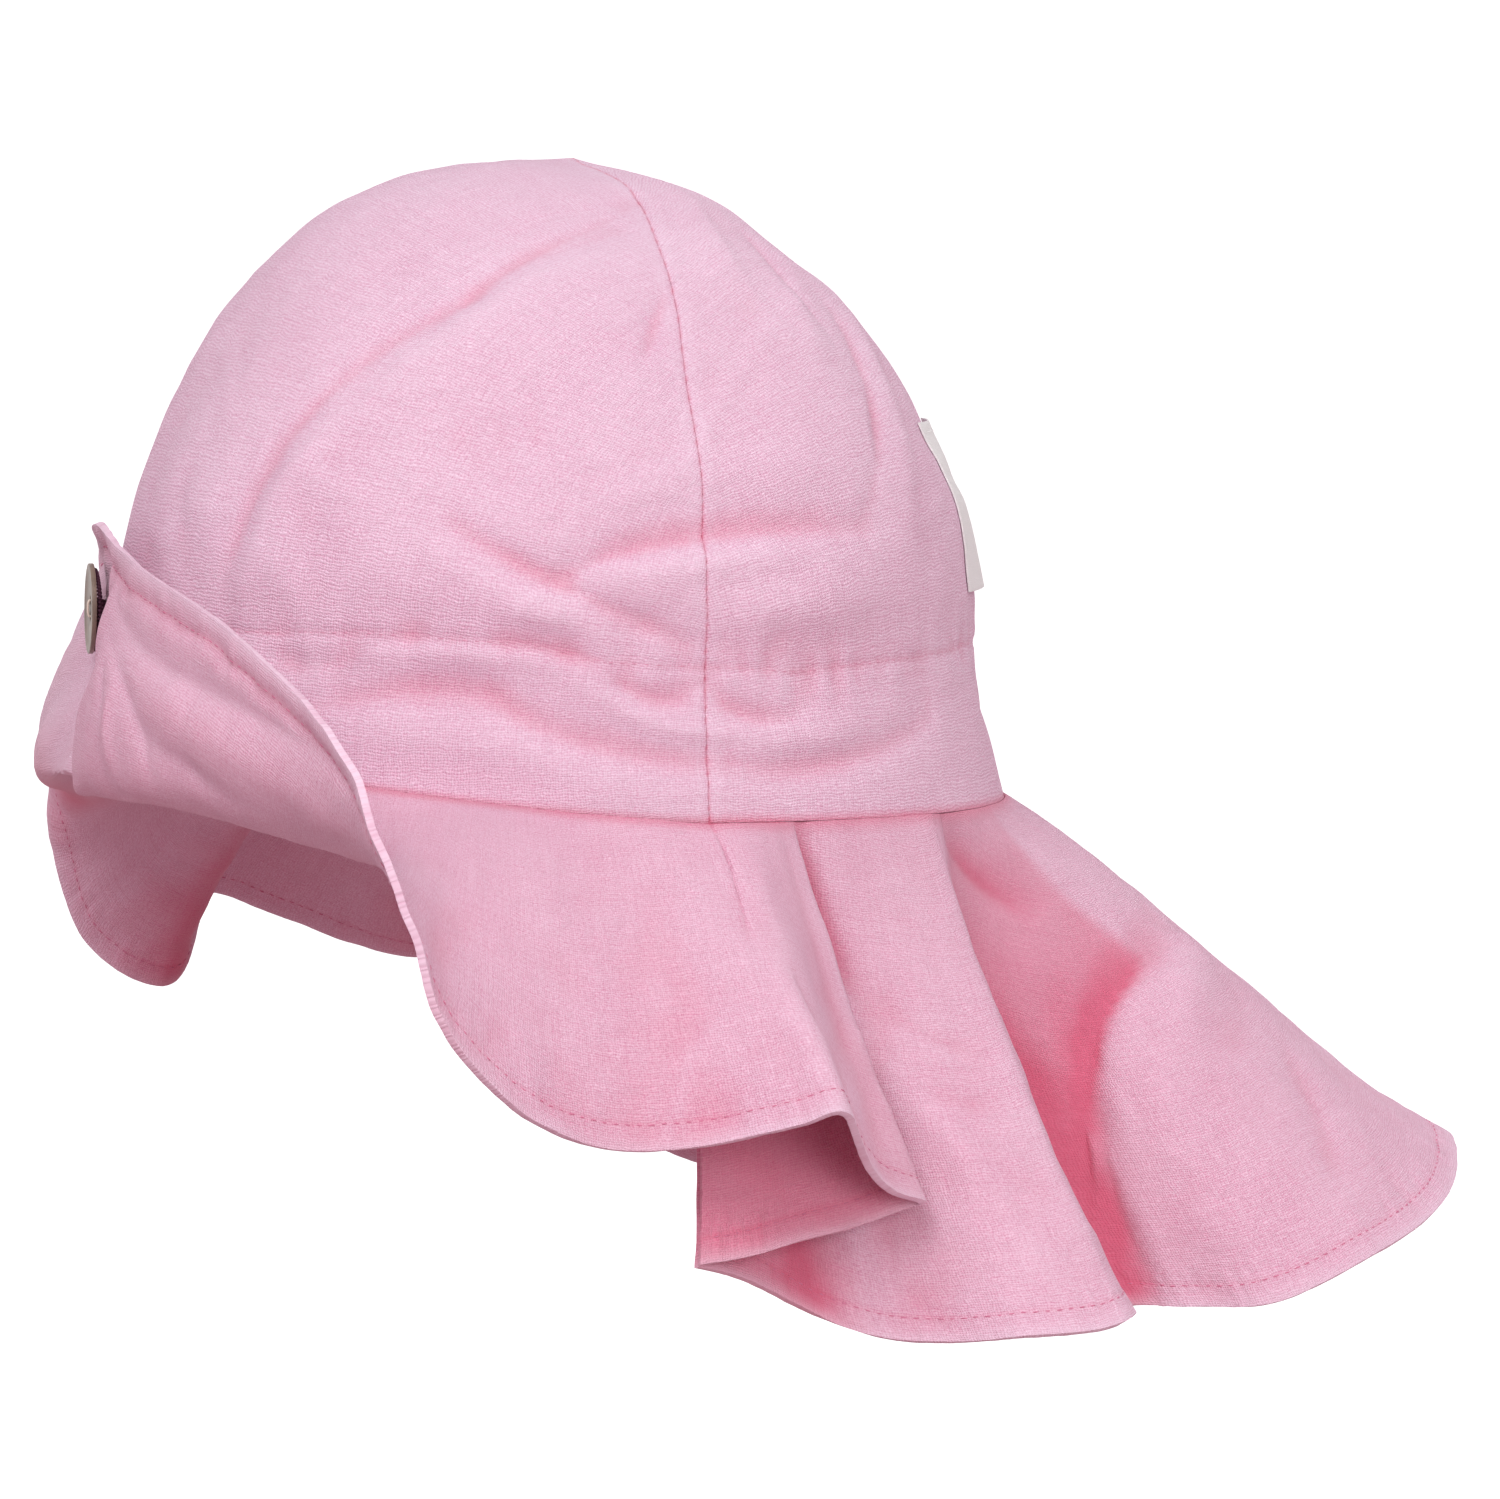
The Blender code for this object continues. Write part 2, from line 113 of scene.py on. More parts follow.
room_seen_result = next(socket for socket in room_seen.outputs if socket.type == "RGBA")
room.links.new(room_seen_result, room.nodes["Background"].inputs["Color"])
bpy.context.scene.world = world

bpy.ops.object.select_all(action="DESELECT")
bpy.ops.mesh.primitive_plane_add(size=SWEEP_SIZE, location=(0, 0, FLOOR_HEIGHT))
sweep = bpy.context.object
sweep.name = "sweep"
bpy.ops.object.mode_set(mode="EDIT")
bpy.ops.mesh.select_all(action="DESELECT")
bpy.ops.object.mode_set(mode="OBJECT")
for edge in sweep.data.edges:
    edge.select = all(sweep.data.vertices[corner].co.x < 0 for corner in edge.vertices)
bpy.ops.object.mode_set(mode="EDIT")
bpy.ops.mesh.extrude_region_move(TRANSFORM_OT_translate={"value": (0, 0, SWEEP_SIZE / 2)})
bpy.ops.object.mode_set(mode="OBJECT")
bend = sweep.modifiers.new("bend", "BEVEL")
bend.width = 1.6
bend.segments = 24
bend.angle_limit = math.radians(60)
sweep.rotation_euler.z = -CAMERA_TURN
sweep.data.shade_smooth()
sweep_finish = bpy.data.materials.new("pale_paper")
sweep_finish.use_nodes = True
sweep_shader = sweep_finish.node_tree.nodes["Principled BSDF"]
sweep_shader.inputs["Base Color"].default_value = (0.9, 0.9, 0.9, 1.0)
sweep_shader.inputs["Roughness"].default_value = 0.95
sweep_shader.inputs["Emission Color"].default_value = (1.0, 1.0, 1.0, 1.0)
sweep_shader.inputs["Emission Strength"].default_value = 0.65
sweep.data.materials.append(sweep_finish)
sweep.visible_diffuse = False


# The crown: two panels of washed linen, cut as half domes and sewn together along the seam
# from ear to ear over the top. A casing is stitched round it above the band, and the slack
# cloth falls in soft dents beside the seam.
MM = 0.001
HEAD_SIDE = 72.0
HEAD_FRONT = 95.0
HEAD_BACK = 76.5
CROWN_HEIGHT = 118.0
CROWN_WALL = 1.0
SEAM_SETBACK = 0.025
ROW_HEIGHT = 13.5
CROWN_ROWS = np.array((
    # side_out, side_up, front_out, front_up, back_out, back_up
    (HEAD_SIDE, 0.0, HEAD_FRONT, 12.0, HEAD_BACK, -2.0),
    (71.0, 13.0, 94.0, 21.0, 73.0, 11.5),
    (69.5, 28.0, 92.5, 33.5, 70.0, 25.5),
    (71.0, 42.0, 90.0, 46.0, 69.5, 38.0),
    (68.0, 57.0, 86.0, 61.0, 66.0, 55.0),
    (61.5, 74.0, 78.5, 77.0, 58.5, 72.0),
    (51.0, 90.5, 68.5, 93.5, 47.5, 88.5),
    (37.0, 104.0, 52.5, 108.0, 33.5, 101.5),
    (20.0, 114.0, 31.0, 116.5, 17.0, 112.0),
    (0.0, CROWN_HEIGHT, 0.0, CROWN_HEIGHT, 0.0, CROWN_HEIGHT),
))
# The crown row that the casing's stitches follow, by degrees around from the front.
CASING_LINE = np.array((
    # around, row
    (-90, 2.0), (0, 2.0), (34, 2.08), (50, 2.2), (70, 2.2), (79, 2.0),
    (90, 1.97), (105, 1.9), (120, 2.0), (150, 2.15), (180, 2.1), (270, 2.0),
))
# Ridges and dents in the crown. Each is a curve from a through b to c, and a dent has a
# negative depth. It fades over its widths to the left and to the right of that curve, softly
# where it is round (crisp 0) and to a sharp line where it is pinched (crisp 1).
CROWN_FOLDS = (
    # around_a, row_a, around_b, row_b, around_c, row_c, left, right, depth, crisp
    (88.5, 7.5, 66, 6.6, 57, 5.9, 1.6, 3.4, -1.0, 0.7),
    (60, 6.1, 44, 5.35, 35, 4.55, 1.8, 3.6, -0.9, 0.7),
    (38, 4.9, 31, 3.8, 28.5, 2.4, 2.0, 4.0, -0.9, 0.6),
    (88, 7.15, 62, 5.95, 40, 4.5, 11.0, 2.6, 1.1, 0.3),
    (42, 4.7, 35, 3.8, 32, 2.6, 9.0, 2.6, 1.0, 0.3),
    (100, 7.7, 76, 7.35, 60, 6.75, 2.0, 2.5, -0.55, 0.6),
    (86, 7.15, 78.5, 6.85, 70, 6.5, 3.0, 2.5, -0.8, 0.2),
    (88, 6.8, 64, 5.5, 46, 4.0, 9.0, 7.0, 0.6, 0),
    (88.8, 6.2, 86.6, 5.9, 84.5, 5.5, 2.0, 1.8, -0.9, 0.5),
    (118, 7.8, 109, 6.9, 112, 6.2, 3.0, 8.0, 1.4, 0.5),
    (131, 7.2, 128, 6.5, 129, 5.7, 2.5, 2.5, -1.1, 0.7),
    (126, 6.4, 122, 5.9, 121, 5.4, 4.5, 4.5, 1.0, 0.2),
    (139, 6.1, 134, 5.25, 120, 3.8, 2.5, 3.5, -1.1, 0.7),
    (145, 5.9, 139, 5.0, 128, 3.6, 4.0, 4.0, 0.9, 0.2),
    (73, 3.05, 89, 3.6, 119, 3.7, 5.2, 2.6, -2.4, 0.75),
    (79, 3.1, 93, 3.3, 104, 3.35, 3.5, 3.5, 1.0, 0.2),
    (80, 4.1, 97, 4.35, 116, 4.35, 5.0, 4.0, 0.7, 0),
    (60, 3.65, 73, 3.0, 88, 2.25, 3.6, 3.0, -2.0, 0.6),
    (64, 2.75, 71, 2.62, 77, 2.35, 4.0, 3.4, 1.2, 0.1),
    (92, 2.6, 104, 2.75, 118, 2.9, 5.0, 5.0, 0.9, 0),
    (38, 1.8, 45, 1.75, 53, 2.05, 2.0, 2.0, -0.8, 0.5),
    (79.5, 1.82, 84.5, 1.6, 89, 1.72, 2.2, 1.5, -1.2, 0.6),
    (90.5, 1.74, 96, 1.42, 104, 1.38, 2.4, 1.6, -1.3, 0.6),
    (76, 1.7, 85, 1.28, 95, 1.15, 1.8, 2.2, 0.9, 0.3),
    (47, 1.85, 62, 2.0, 76, 1.85, 1.6, 2.6, 0.8, 0.2),
    (43, 1.15, 59, 1.55, 70, 1.35, 4.6, 3.2, -1.5, 0.6),
    (68, 1.4, 78, 1.0, 92, 0.78, 5.0, 3.2, -1.7, 0.6),
    (95, 0.78, 110, 0.78, 131, 1.25, 4.6, 3.2, -1.6, 0.6),
    (50, 0.85, 64, 0.9, 78, 0.55, 4.0, 4.0, 0.9, 0),
    (96, 1.05, 106, 1.1, 116, 1.25, 3.0, 3.0, 0.7, 0.1),
    (12, 6.2, 6, 5.0, 2, 3.6, 8.0, 8.0, -1.0, 0),
    (-4, 1.5, 5, 2.3, 12, 3.1, 8.0, 8.0, -2.0, 0),
    (17, 4.4, 16, 3.7, 20, 3.0, 3.0, 5.0, -0.6, 0.4),
    (152, 4.6, 172, 4.1, 198, 4.4, 4.0, 3.0, -1.5, 0.6),
    (158, 1.3, 180, 0.95, 205, 1.35, 4.0, 3.0, -1.3, 0.6),
    (165, 6.8, 172, 5.9, 178, 5.2, 3.0, 3.0, -0.8, 0.4),
)
# The far side hangs in the same kinds of folds, a little further round and shallower.
FAR_TURN = -5.0
FAR_DEPTH = 0.8


def spline(rows, at):
    """A smooth curve through the rows; `at` counts rows and may be fractional."""
    last = len(rows) - 1
    at = np.clip(np.asarray(at, float), 0, last)
    low = np.minimum(at.astype(int), last - 1)
    share = (at - low)[..., None]
    start, end = rows[low], rows[low + 1]
    before = np.where((low > 0)[..., None], rows[np.maximum(low - 1, 0)], 2 * start - end)
    after = np.where((low < last - 1)[..., None], rows[np.minimum(low + 2, last)], 2 * end - start)
    square = 2 * before - 5 * start + 4 * end - after
    cubic = 3 * start - before - 3 * end + after
    return 0.5 * (2 * start + (end - before) * share + square * share**2 + cubic * share**3)


def crown_point(around, row):
    """Points of the crown's outer face, in millimetres."""
    side_out, side_up, front_out, front_up, back_out, back_up = np.moveaxis(spline(CROWN_ROWS, row), -1, 0)
    turn = np.radians(around)
    cosine = np.cos(turn)
    lift = np.abs(cosine) ** 1.3
    return np.stack((
        side_out * np.sin(turn),
        -np.where(cosine > 0, front_out, back_out) * cosine,
        side_up + (np.where(cosine > 0, front_up, back_up) - side_up) * lift,
    ), axis=-1)


def surface_normals(points):
    """Unit normals of a grid of points, on the side where columns and levels cross."""
    square = np.cross(np.gradient(points, axis=0), np.gradient(points, axis=1))
    return square / np.maximum(np.linalg.norm(square, axis=-1, keepdims=True), 1e-9)


def through(first, middle, last, share):
    """A value that runs smoothly from the first through the middle to the last."""
    return first * (1 - share) * (1 - 2 * share) + 4 * middle * share * (1 - share) + last * share * (2 * share - 1)


def fold_heights(points, normals, folds, place):
    """How far the ridges and dents move each point along its normal, in millimetres."""
    heights = np.zeros(points.shape[:-1])
    share = np.linspace(0, 1, 17)
    for around_a, row_a, around_b, row_b, around_c, row_c, left, right, depth, crisp in folds:
        line = place(through(around_a, around_b, around_c, share), through(row_a, row_b, row_c, share))
        border = 5 * max(left, right)
        near = np.all((points > line.min(axis=0) - border) & (points < line.max(axis=0) + border), axis=-1)
        places, facing = points[near], normals[near]
        nearest = np.full(len(places), np.inf)
        along = np.zeros(len(places))
        on_left = np.zeros(len(places), bool)
        for index, (start, end) in enumerate(zip(line[:-1], line[1:])):
            run = end - start
            part = np.clip((places - start) @ run / max(run @ run, 1e-9), 0, 1)
            away = places - start - part[:, None] * run
            reach = np.linalg.norm(away, axis=-1)
            closer = reach < nearest
            nearest = np.where(closer, reach, nearest)
            along = np.where(closer, (index + part) / (len(line) - 1), along)
            on_left = np.where(closer, np.sum(np.cross(run, away) * facing, axis=-1) > 0, on_left)
        spread = np.sqrt((nearest / np.where(on_left, left, right)) ** 2 + 0.008)
        faded = np.sin(math.pi * (0.06 + 0.88 * along)) ** 0.6
        heights[near] += depth * faded * np.exp(-(spread ** (2 - crisp)))
    return heights


def sunken(points, normals, reach):
    """How far each point lies below the cloth a few columns and levels away, in millimetres."""
    around = np.zeros_like(points)
    for axis in (0, 1):
        index = np.arange(points.shape[axis])
        for step in (-reach, reach):
            around += np.take(points, np.clip(index + step, 0, index[-1]), axis=axis)
    return np.sum((around / 4 - points) * normals, axis=-1)


def crumple(points, size, seed):
    """Soft random dents of about the given size, from -1 to 1."""
    offset = Vector((seed * 7.3, seed * 3.1, seed * 11.7))
    heights = [noise.noise(Vector(point) + offset) for point in points.reshape(-1, 3) / size]
    return np.array(heights).reshape(points.shape[:-1])


def creases(points, size, seed):
    """Random thin ridge lines, as washed linen has, from 0 to 1."""
    return np.clip(1 - np.abs(crumple(points, size, seed)) * 6, 0, 1) ** 1.5


def cloth_mesh(name, points, pattern, values):
    """A grid of cloth as an object, with its flat pattern as UV and its values per point."""
    columns, levels = points.shape[:2]
    index = np.arange(columns * levels).reshape(columns, levels)
    faces = np.stack((index[:-1, :-1], index[1:, :-1], index[1:, 1:], index[:-1, 1:]), axis=-1)
    mesh = bpy.data.meshes.new(name)
    mesh.from_pydata((points.reshape(-1, 3) * MM).tolist(), [], faces.reshape(-1, 4).tolist())
    corners = np.empty(len(mesh.loops), int)
    mesh.loops.foreach_get("vertex_index", corners)
    layer = mesh.uv_layers.new(name="cloth")
    layer.data.foreach_set("uv", pattern.reshape(-1, 2)[corners].ravel())
    for key, value in values.items():
        attribute = mesh.attributes.new(key, "FLOAT", "POINT")
        attribute.data.foreach_set("value", np.clip(value, 0, 1).ravel())
    sheet = bmesh.new()
    sheet.from_mesh(mesh)
    bmesh.ops.remove_doubles(sheet, verts=sheet.verts, dist=1e-6)
    sheet.to_mesh(mesh)
    sheet.free()
    item = bpy.data.objects.new(name, mesh)
    bpy.context.scene.collection.objects.link(item)
    mesh.shade_smooth()
    return item


def give_wall(item, thickness, offset, rounding):
    """Gives a sheet its thickness and rounds its cut edges."""
    wall = item.modifiers.new("wall", "SOLIDIFY")
    wall.thickness = thickness * MM
    wall.offset = offset
    wall.use_quality_normals = True
    edge = item.modifiers.new("rounded_edge", "BEVEL")
    edge.width = rounding * MM
    edge.segments = 2
    edge.limit_method = "ANGLE"
    edge.angle_limit = math.radians(60)
    return wall


def add_node(tree, kind, **values):
    """A shader node; each value is a setting, or a socket's number or link."""
    node = tree.nodes.new(kind)
    for key, value in values.items():
        if not key.startswith("in_"):
            setattr(node, key, value)
    for key, value in values.items():
        if key.startswith("in_"):
            name = key[3:].replace("_", " ")
            socket = node.inputs[int(name)] if name.isdigit() else node.inputs[name]
            if isinstance(value, bpy.types.NodeSocket):
                tree.links.new(value, socket)
            else:
                socket.default_value = value
    return node


def maths(tree, operation, *values):
    """The result of a Math node on sockets or numbers."""
    node = tree.nodes.new("ShaderNodeMath")
    node.operation = operation
    for socket, value in zip(node.inputs, values):
        if isinstance(value, bpy.types.NodeSocket):
            tree.links.new(value, socket)
        else:
            socket.default_value = value
    return node.outputs[0]


def mix_colours(tree, factor, first, second):
    """A blend of two colours, each a socket or a red, green and blue triple."""
    node = tree.nodes.new("ShaderNodeMix")
    node.data_type = "RGBA"
    tree.links.new(factor, node.inputs["Factor"])
    colour_inputs = [socket for socket in node.inputs if socket.type == "RGBA"]
    for socket, value in zip(colour_inputs, (first, second)):
        if isinstance(value, bpy.types.NodeSocket):
            tree.links.new(value, socket)
        else:
            socket.default_value = (*value, 1.0)
    return next(socket for socket in node.outputs if socket.type == "RGBA")


def group_with(name, inputs, outputs):
    """An empty shader group with number inputs (a vector where the value is None)."""
    group = bpy.data.node_groups.new(name, "ShaderNodeTree")
    for label, value in inputs.items():
        kind = "NodeSocketVector" if value is None else "NodeSocketFloat"
        socket = group.interface.new_socket(name=label, in_out="INPUT", socket_type=kind)
        if value is not None:
            socket.default_value = value
    for label in outputs:
        group.interface.new_socket(name=label, in_out="OUTPUT", socket_type="NodeSocketFloat")
    return group, group.nodes.new("NodeGroupInput"), group.nodes.new("NodeGroupOutput")


# Plain weave: warp and weft pass over each other in turn, on a flat pattern in millimetres.
# Both wander a little, and each thread has thick and thin stretches, as spun flax has.
weave, weave_in, weave_out = group_with(
    "plain_weave", {"Pattern": None, "Pitch": 0.44, "Slub": 0.6}, ("Height", "Warp", "Slubs", "Grain"))
wander = add_node(weave, "ShaderNodeTexNoise", in_Vector=weave_in.outputs["Pattern"],
                  in_Scale=0.4, in_Detail=3.0)
shifted = add_node(weave, "ShaderNodeVectorMath", operation="MULTIPLY_ADD",
                   in_0=wander.outputs["Color"], in_1=(1.3, 1.3, 0.0), in_2=weave_in.outputs["Pattern"])
place = add_node(weave, "ShaderNodeSeparateXYZ", in_0=shifted.outputs[0])
turn_rate = maths(weave, "DIVIDE", math.pi, weave_in.outputs["Pitch"])
across = maths(weave, "SINE", maths(weave, "MULTIPLY", place.outputs["X"], turn_rate))
along = maths(weave, "SINE", maths(weave, "MULTIPLY", place.outputs["Y"], turn_rate))
over = maths(weave, "MULTIPLY", across, along)
warp = maths(weave, "MULTIPLY", maths(weave, "ABSOLUTE", across), maths(weave, "MULTIPLY_ADD", over, 0.3, 0.7))
weft = maths(weave, "MULTIPLY", maths(weave, "ABSOLUTE", along), maths(weave, "MULTIPLY_ADD", over, -0.3, 0.7))
slubs = []
for stretch in ((0.09, 2.3, 1.0), (2.3, 0.09, 1.0)):
    drawn = add_node(weave, "ShaderNodeVectorMath", operation="MULTIPLY",
                     in_0=shifted.outputs[0], in_1=stretch)
    uneven = add_node(weave, "ShaderNodeTexNoise", in_Vector=drawn.outputs[0], in_Scale=0.9, in_Detail=2.0)
    slubs.append(maths(weave, "SUBTRACT", uneven.outputs["Fac"], 0.5))
slub_sum = maths(weave, "MULTIPLY", maths(weave, "ADD", *slubs), weave_in.outputs["Slub"])
weave.links.new(maths(weave, "ADD", maths(weave, "MAXIMUM", warp, weft), slub_sum), weave_out.inputs["Height"])
weave.links.new(maths(weave, "GREATER_THAN", warp, weft), weave_out.inputs["Warp"])
weave.links.new(slub_sum, weave_out.inputs["Slubs"])
specks = add_node(weave, "ShaderNodeTexNoise", in_Vector=weave_in.outputs["Pattern"], in_Scale=1.9, in_Detail=2.0)
weave.links.new(maths(weave, "SUBTRACT", specks.outputs["Fac"], 0.5), weave_out.inputs["Grain"])

# Uneven dye: slow changes of tone from washing, on the same flat pattern.
dye, dye_in, dye_out = group_with("uneven_dye", {"Pattern": None, "Patch": 24.0}, ("Tone",))
cloud = add_node(dye, "ShaderNodeTexNoise", in_Vector=dye_in.outputs["Pattern"],
                 in_Scale=maths(dye, "DIVIDE", 1.0, dye_in.outputs["Patch"]), in_Detail=5.0, in_Roughness=0.6)
dye.links.new(cloud.outputs["Fac"], dye_out.inputs["Tone"])


def linen(name, light, deep, shade_colour, wear_and_highlight, bump_height):
    """Washed linen: two tones of thread, slubs, uneven dye, paler edges that are partly wear and partly painted
    highlight, and painted shade in folds, seams and the gaps between threads.
    """
    finish = bpy.data.materials.new(name)
    finish.use_nodes = True
    tree = finish.node_tree
    shader = tree.nodes["Principled BSDF"]
    pattern = add_node(tree, "ShaderNodeUVMap", uv_map="cloth").outputs["UV"]
    threads = add_node(tree, "ShaderNodeGroup", node_tree=weave)
    tree.links.new(pattern, threads.inputs["Pattern"])
    tones = add_node(tree, "ShaderNodeGroup", node_tree=dye)
    tree.links.new(pattern, tones.inputs["Pattern"])
    # The gaps between threads are painted darker, as shade in the weave; the warp is a little darker as its own tone.
    gap = maths(tree, "SUBTRACT", 1.0, threads.outputs["Height"])
    depth = maths(tree, "MULTIPLY_ADD", gap, 0.8, maths(tree, "MULTIPLY", threads.outputs["Warp"], 0.14))
    speckled = maths(tree, "MULTIPLY_ADD", threads.outputs["Grain"], 1.3, depth)
    cloudy = maths(tree, "MULTIPLY_ADD", tones.outputs["Tone"], 0.5, -0.22)
    mixed = add_node(tree, "ShaderNodeClamp", in_Value=maths(tree, "ADD", speckled, cloudy)).outputs[0]
    colour = mix_colours(tree, mixed, light, deep)
    # Painted shade: a deep pink is mixed in where the cloth lies in hollows, valleys, seam grooves and under other
    # layers.
    painted_shade_and_seams = add_node(tree, "ShaderNodeAttribute", attribute_name="painted_shade_and_seams").outputs["Fac"]
    colour = mix_colours(tree, maths(tree, "MULTIPLY", painted_shade_and_seams, 0.85), colour, shade_colour)
    # Paler cloth at edges, ridges and seams: partly wear, partly painted highlight where they catch the light.
    wear_and_highlight_amount = add_node(tree, "ShaderNodeAttribute", attribute_name="wear_and_highlight").outputs["Fac"]
    colour = mix_colours(tree, maths(tree, "MULTIPLY", wear_and_highlight_amount, 0.65), colour, wear_and_highlight)
    tree.links.new(colour, shader.inputs["Base Color"])
    tree.links.new(maths(tree, "MULTIPLY_ADD", mixed, 0.12, 0.8), shader.inputs["Roughness"])
    shader.inputs["Specular IOR Level"].default_value = 0.2
    shader.inputs["Sheen Weight"].default_value = 0.18
    shader.inputs["Sheen Roughness"].default_value = 0.5
    shader.inputs["Sheen Tint"].default_value = (1.0, 0.88, 0.95, 1.0)
    bump = add_node(tree, "ShaderNodeBump", in_Strength=0.6, in_Distance=bump_height * MM,
                    in_Height=threads.outputs["Height"])
    tree.links.new(bump.outputs["Normal"], shader.inputs["Normal"])
    return finish


PAINTED_SHADE_PINK = (0.68, 0.10, 0.19)
WEAR_AND_HIGHLIGHT_PINK = (0.86, 0.69, 0.81)
crown_linen = linen("crown_linen", (0.86, 0.645, 0.775), (0.68, 0.34, 0.49), PAINTED_SHADE_PINK, WEAR_AND_HIGHLIGHT_PINK, 0.3)
far_folds = tuple(
    (FAR_TURN - a, row_a, FAR_TURN - b, row_b, FAR_TURN - c, row_c, right, left, depth * FAR_DEPTH, crisp)
    for a, row_a, b, row_b, c, row_c, left, right, depth, crisp in CROWN_FOLDS
    if max(a, b, c) < 150 and min(a, b, c) > 28
)


def panel_pattern(points, facing):
    """A panel laid flat, in millimetres: straight distances from its lowest middle point."""
    rays = (points - np.array((0.0, -9.0, 8.0))) * np.array((1.0, 0.82, 0.66))
    rays /= np.linalg.norm(rays, axis=-1, keepdims=True)
    bend = np.arccos(np.clip(rays[..., 1] * facing, -1, 1))
    side, rise = rays[..., 0], rays[..., 2]
    length = np.maximum(np.hypot(side, rise), 1e-6)
    return np.stack((side, rise), axis=-1) * (bend / length * 72.0)[..., None]


def crown_panel(name, first, last, columns, levels, setback, facing):
    """One panel of the crown, with its seam edge, the casing's puckers and the folds."""
    even = np.linspace(0, 1, columns + 1)
    closer_at_seams = even - 0.55 * np.sin(2 * math.pi * even) / (2 * math.pi)
    around = (first + (last - first) * closer_at_seams)[:, None] * np.ones((1, levels + 1))
    share = np.linspace(0, 1, levels + 1)[None, :] * np.ones((columns + 1, 1))
    row = (len(CROWN_ROWS) - 1) * (1 - (1 - share) ** 1.06)
    points = crown_point(around, row)
    normals = surface_normals(points)
    normals[:, -1] = (0, 0, 1)

    folds = fold_heights(points, normals, CROWN_FOLDS + far_folds, crown_point)
    casing = (row - np.interp(around, CASING_LINE[:, 0], CASING_LINE[:, 1])) * ROW_HEIGHT
    puckers = crumple(np.stack((around * 0.3, casing * 0.06, around * 0), axis=-1), 1.0, 2)
    slack = np.clip((row - 0.3) / 1.5, 0, 1)
    move = folds + 0.7 * puckers * np.exp(-(casing / 6.0) ** 2)
    move -= 0.35 * np.exp(-(casing / 0.8) ** 2)
    move += slack * (0.9 * crumple(points, 28, 3) + 0.4 * crumple(points, 11, 4) + 0.12 * crumple(points, 4.5, 6))
    move += slack * 0.25 * (creases(points, 34, 5) - 0.25)
    seam = np.abs(points[..., 1])
    tucks = np.sin(row * ROW_HEIGHT * 2 * math.pi / 5.2 + 2 * crumple(points, 15, 7))
    move -= 0.14 * np.exp(-(seam / 0.45) ** 2)
    move += (0.07 + 0.07 * tucks) * np.exp(-((seam - 2.0) / 1.5) ** 2)
    move *= np.clip((9.0 - row) / 0.5, 0, 1)
    shaped = points + normals * move[..., None]
    forward = np.clip((row - 7.4) / 1.4, 0, 1)
    shaped[..., 1] += setback - 5.0 * forward**2 * (3 - 2 * forward) * np.exp(-(points[..., 1] / 22) ** 2)
    seam_run = np.stack((np.sign(points[..., 0]) * 3.0, row * 0, row * 1.2), axis=-1)
    shaped[..., 1] += 0.6 * crumple(seam_run, 1.0, 9) * np.exp(-(seam / 5.0) ** 2) * np.clip((8.5 - row) / 2, 0, 1)

    dashes = 0.6 + 0.4 * np.sin(row * ROW_HEIGHT * 2 * math.pi / 2.2)
    groove = np.exp(-(seam / 0.24) ** 2) * dashes
    relief = sunken(shaped, normals, 5) * np.clip((8.8 - row) / 0.5, 0, 1)
    # Painted shade in the hollows and along the casing line, and a dark dashed line along the seam that is partly its
    # stitches and partly painted shade in its groove.
    painted_shade_and_seams = 0.38 * np.clip(relief / 0.9, 0, 1) + 0.7 * groove + 0.12 * np.exp(-(casing / 0.5) ** 2)
    # Painted shadow along the band seam at the crown's lower edge.
    painted_shade_and_seams += 0.6 * np.exp(-(row * ROW_HEIGHT / 1.0) ** 2)
    # Paler beside the seam and on the ridges: partly wear, partly painted highlight.
    wear_and_highlight = 0.2 * np.exp(-((seam - 1.6) / 0.9) ** 2) + 0.25 * np.clip(-relief / 0.9, 0, 1)
    item = cloth_mesh(name, shaped, panel_pattern(points, facing), {"wear_and_highlight": wear_and_highlight, "painted_shade_and_seams": painted_shade_and_seams})
    give_wall(item, CROWN_WALL, -1.0, 0.05)
    item.data.materials.append(crown_linen)

    facings = surface_normals(shaped)
    line = [(shaped[column, level] * (1 - part) + shaped[column, level + 1] * part, facings[column, level])
            for column in range(columns + 1)
            for level in [int(np.argmax(casing[column] > 0)) - 1]
            for part in [-casing[column, level] / (casing[column, level + 1] - casing[column, level])]]
    return item, np.array([place for place, facing in line]), np.array([facing for place, facing in line])


crown_front, front_casing, front_casing_facing = crown_panel(
    "crown_front_cloth", -90.0, 90.0, 340, 140, -SEAM_SETBACK, -1)
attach(crown_front, "root")
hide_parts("crown_front")

crown_back, back_casing, back_casing_facing = crown_panel(
    "crown_back_cloth", 90.0, 270.0, 310, 140, SEAM_SETBACK, 1)
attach(crown_back, "root")
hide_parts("crown_back")


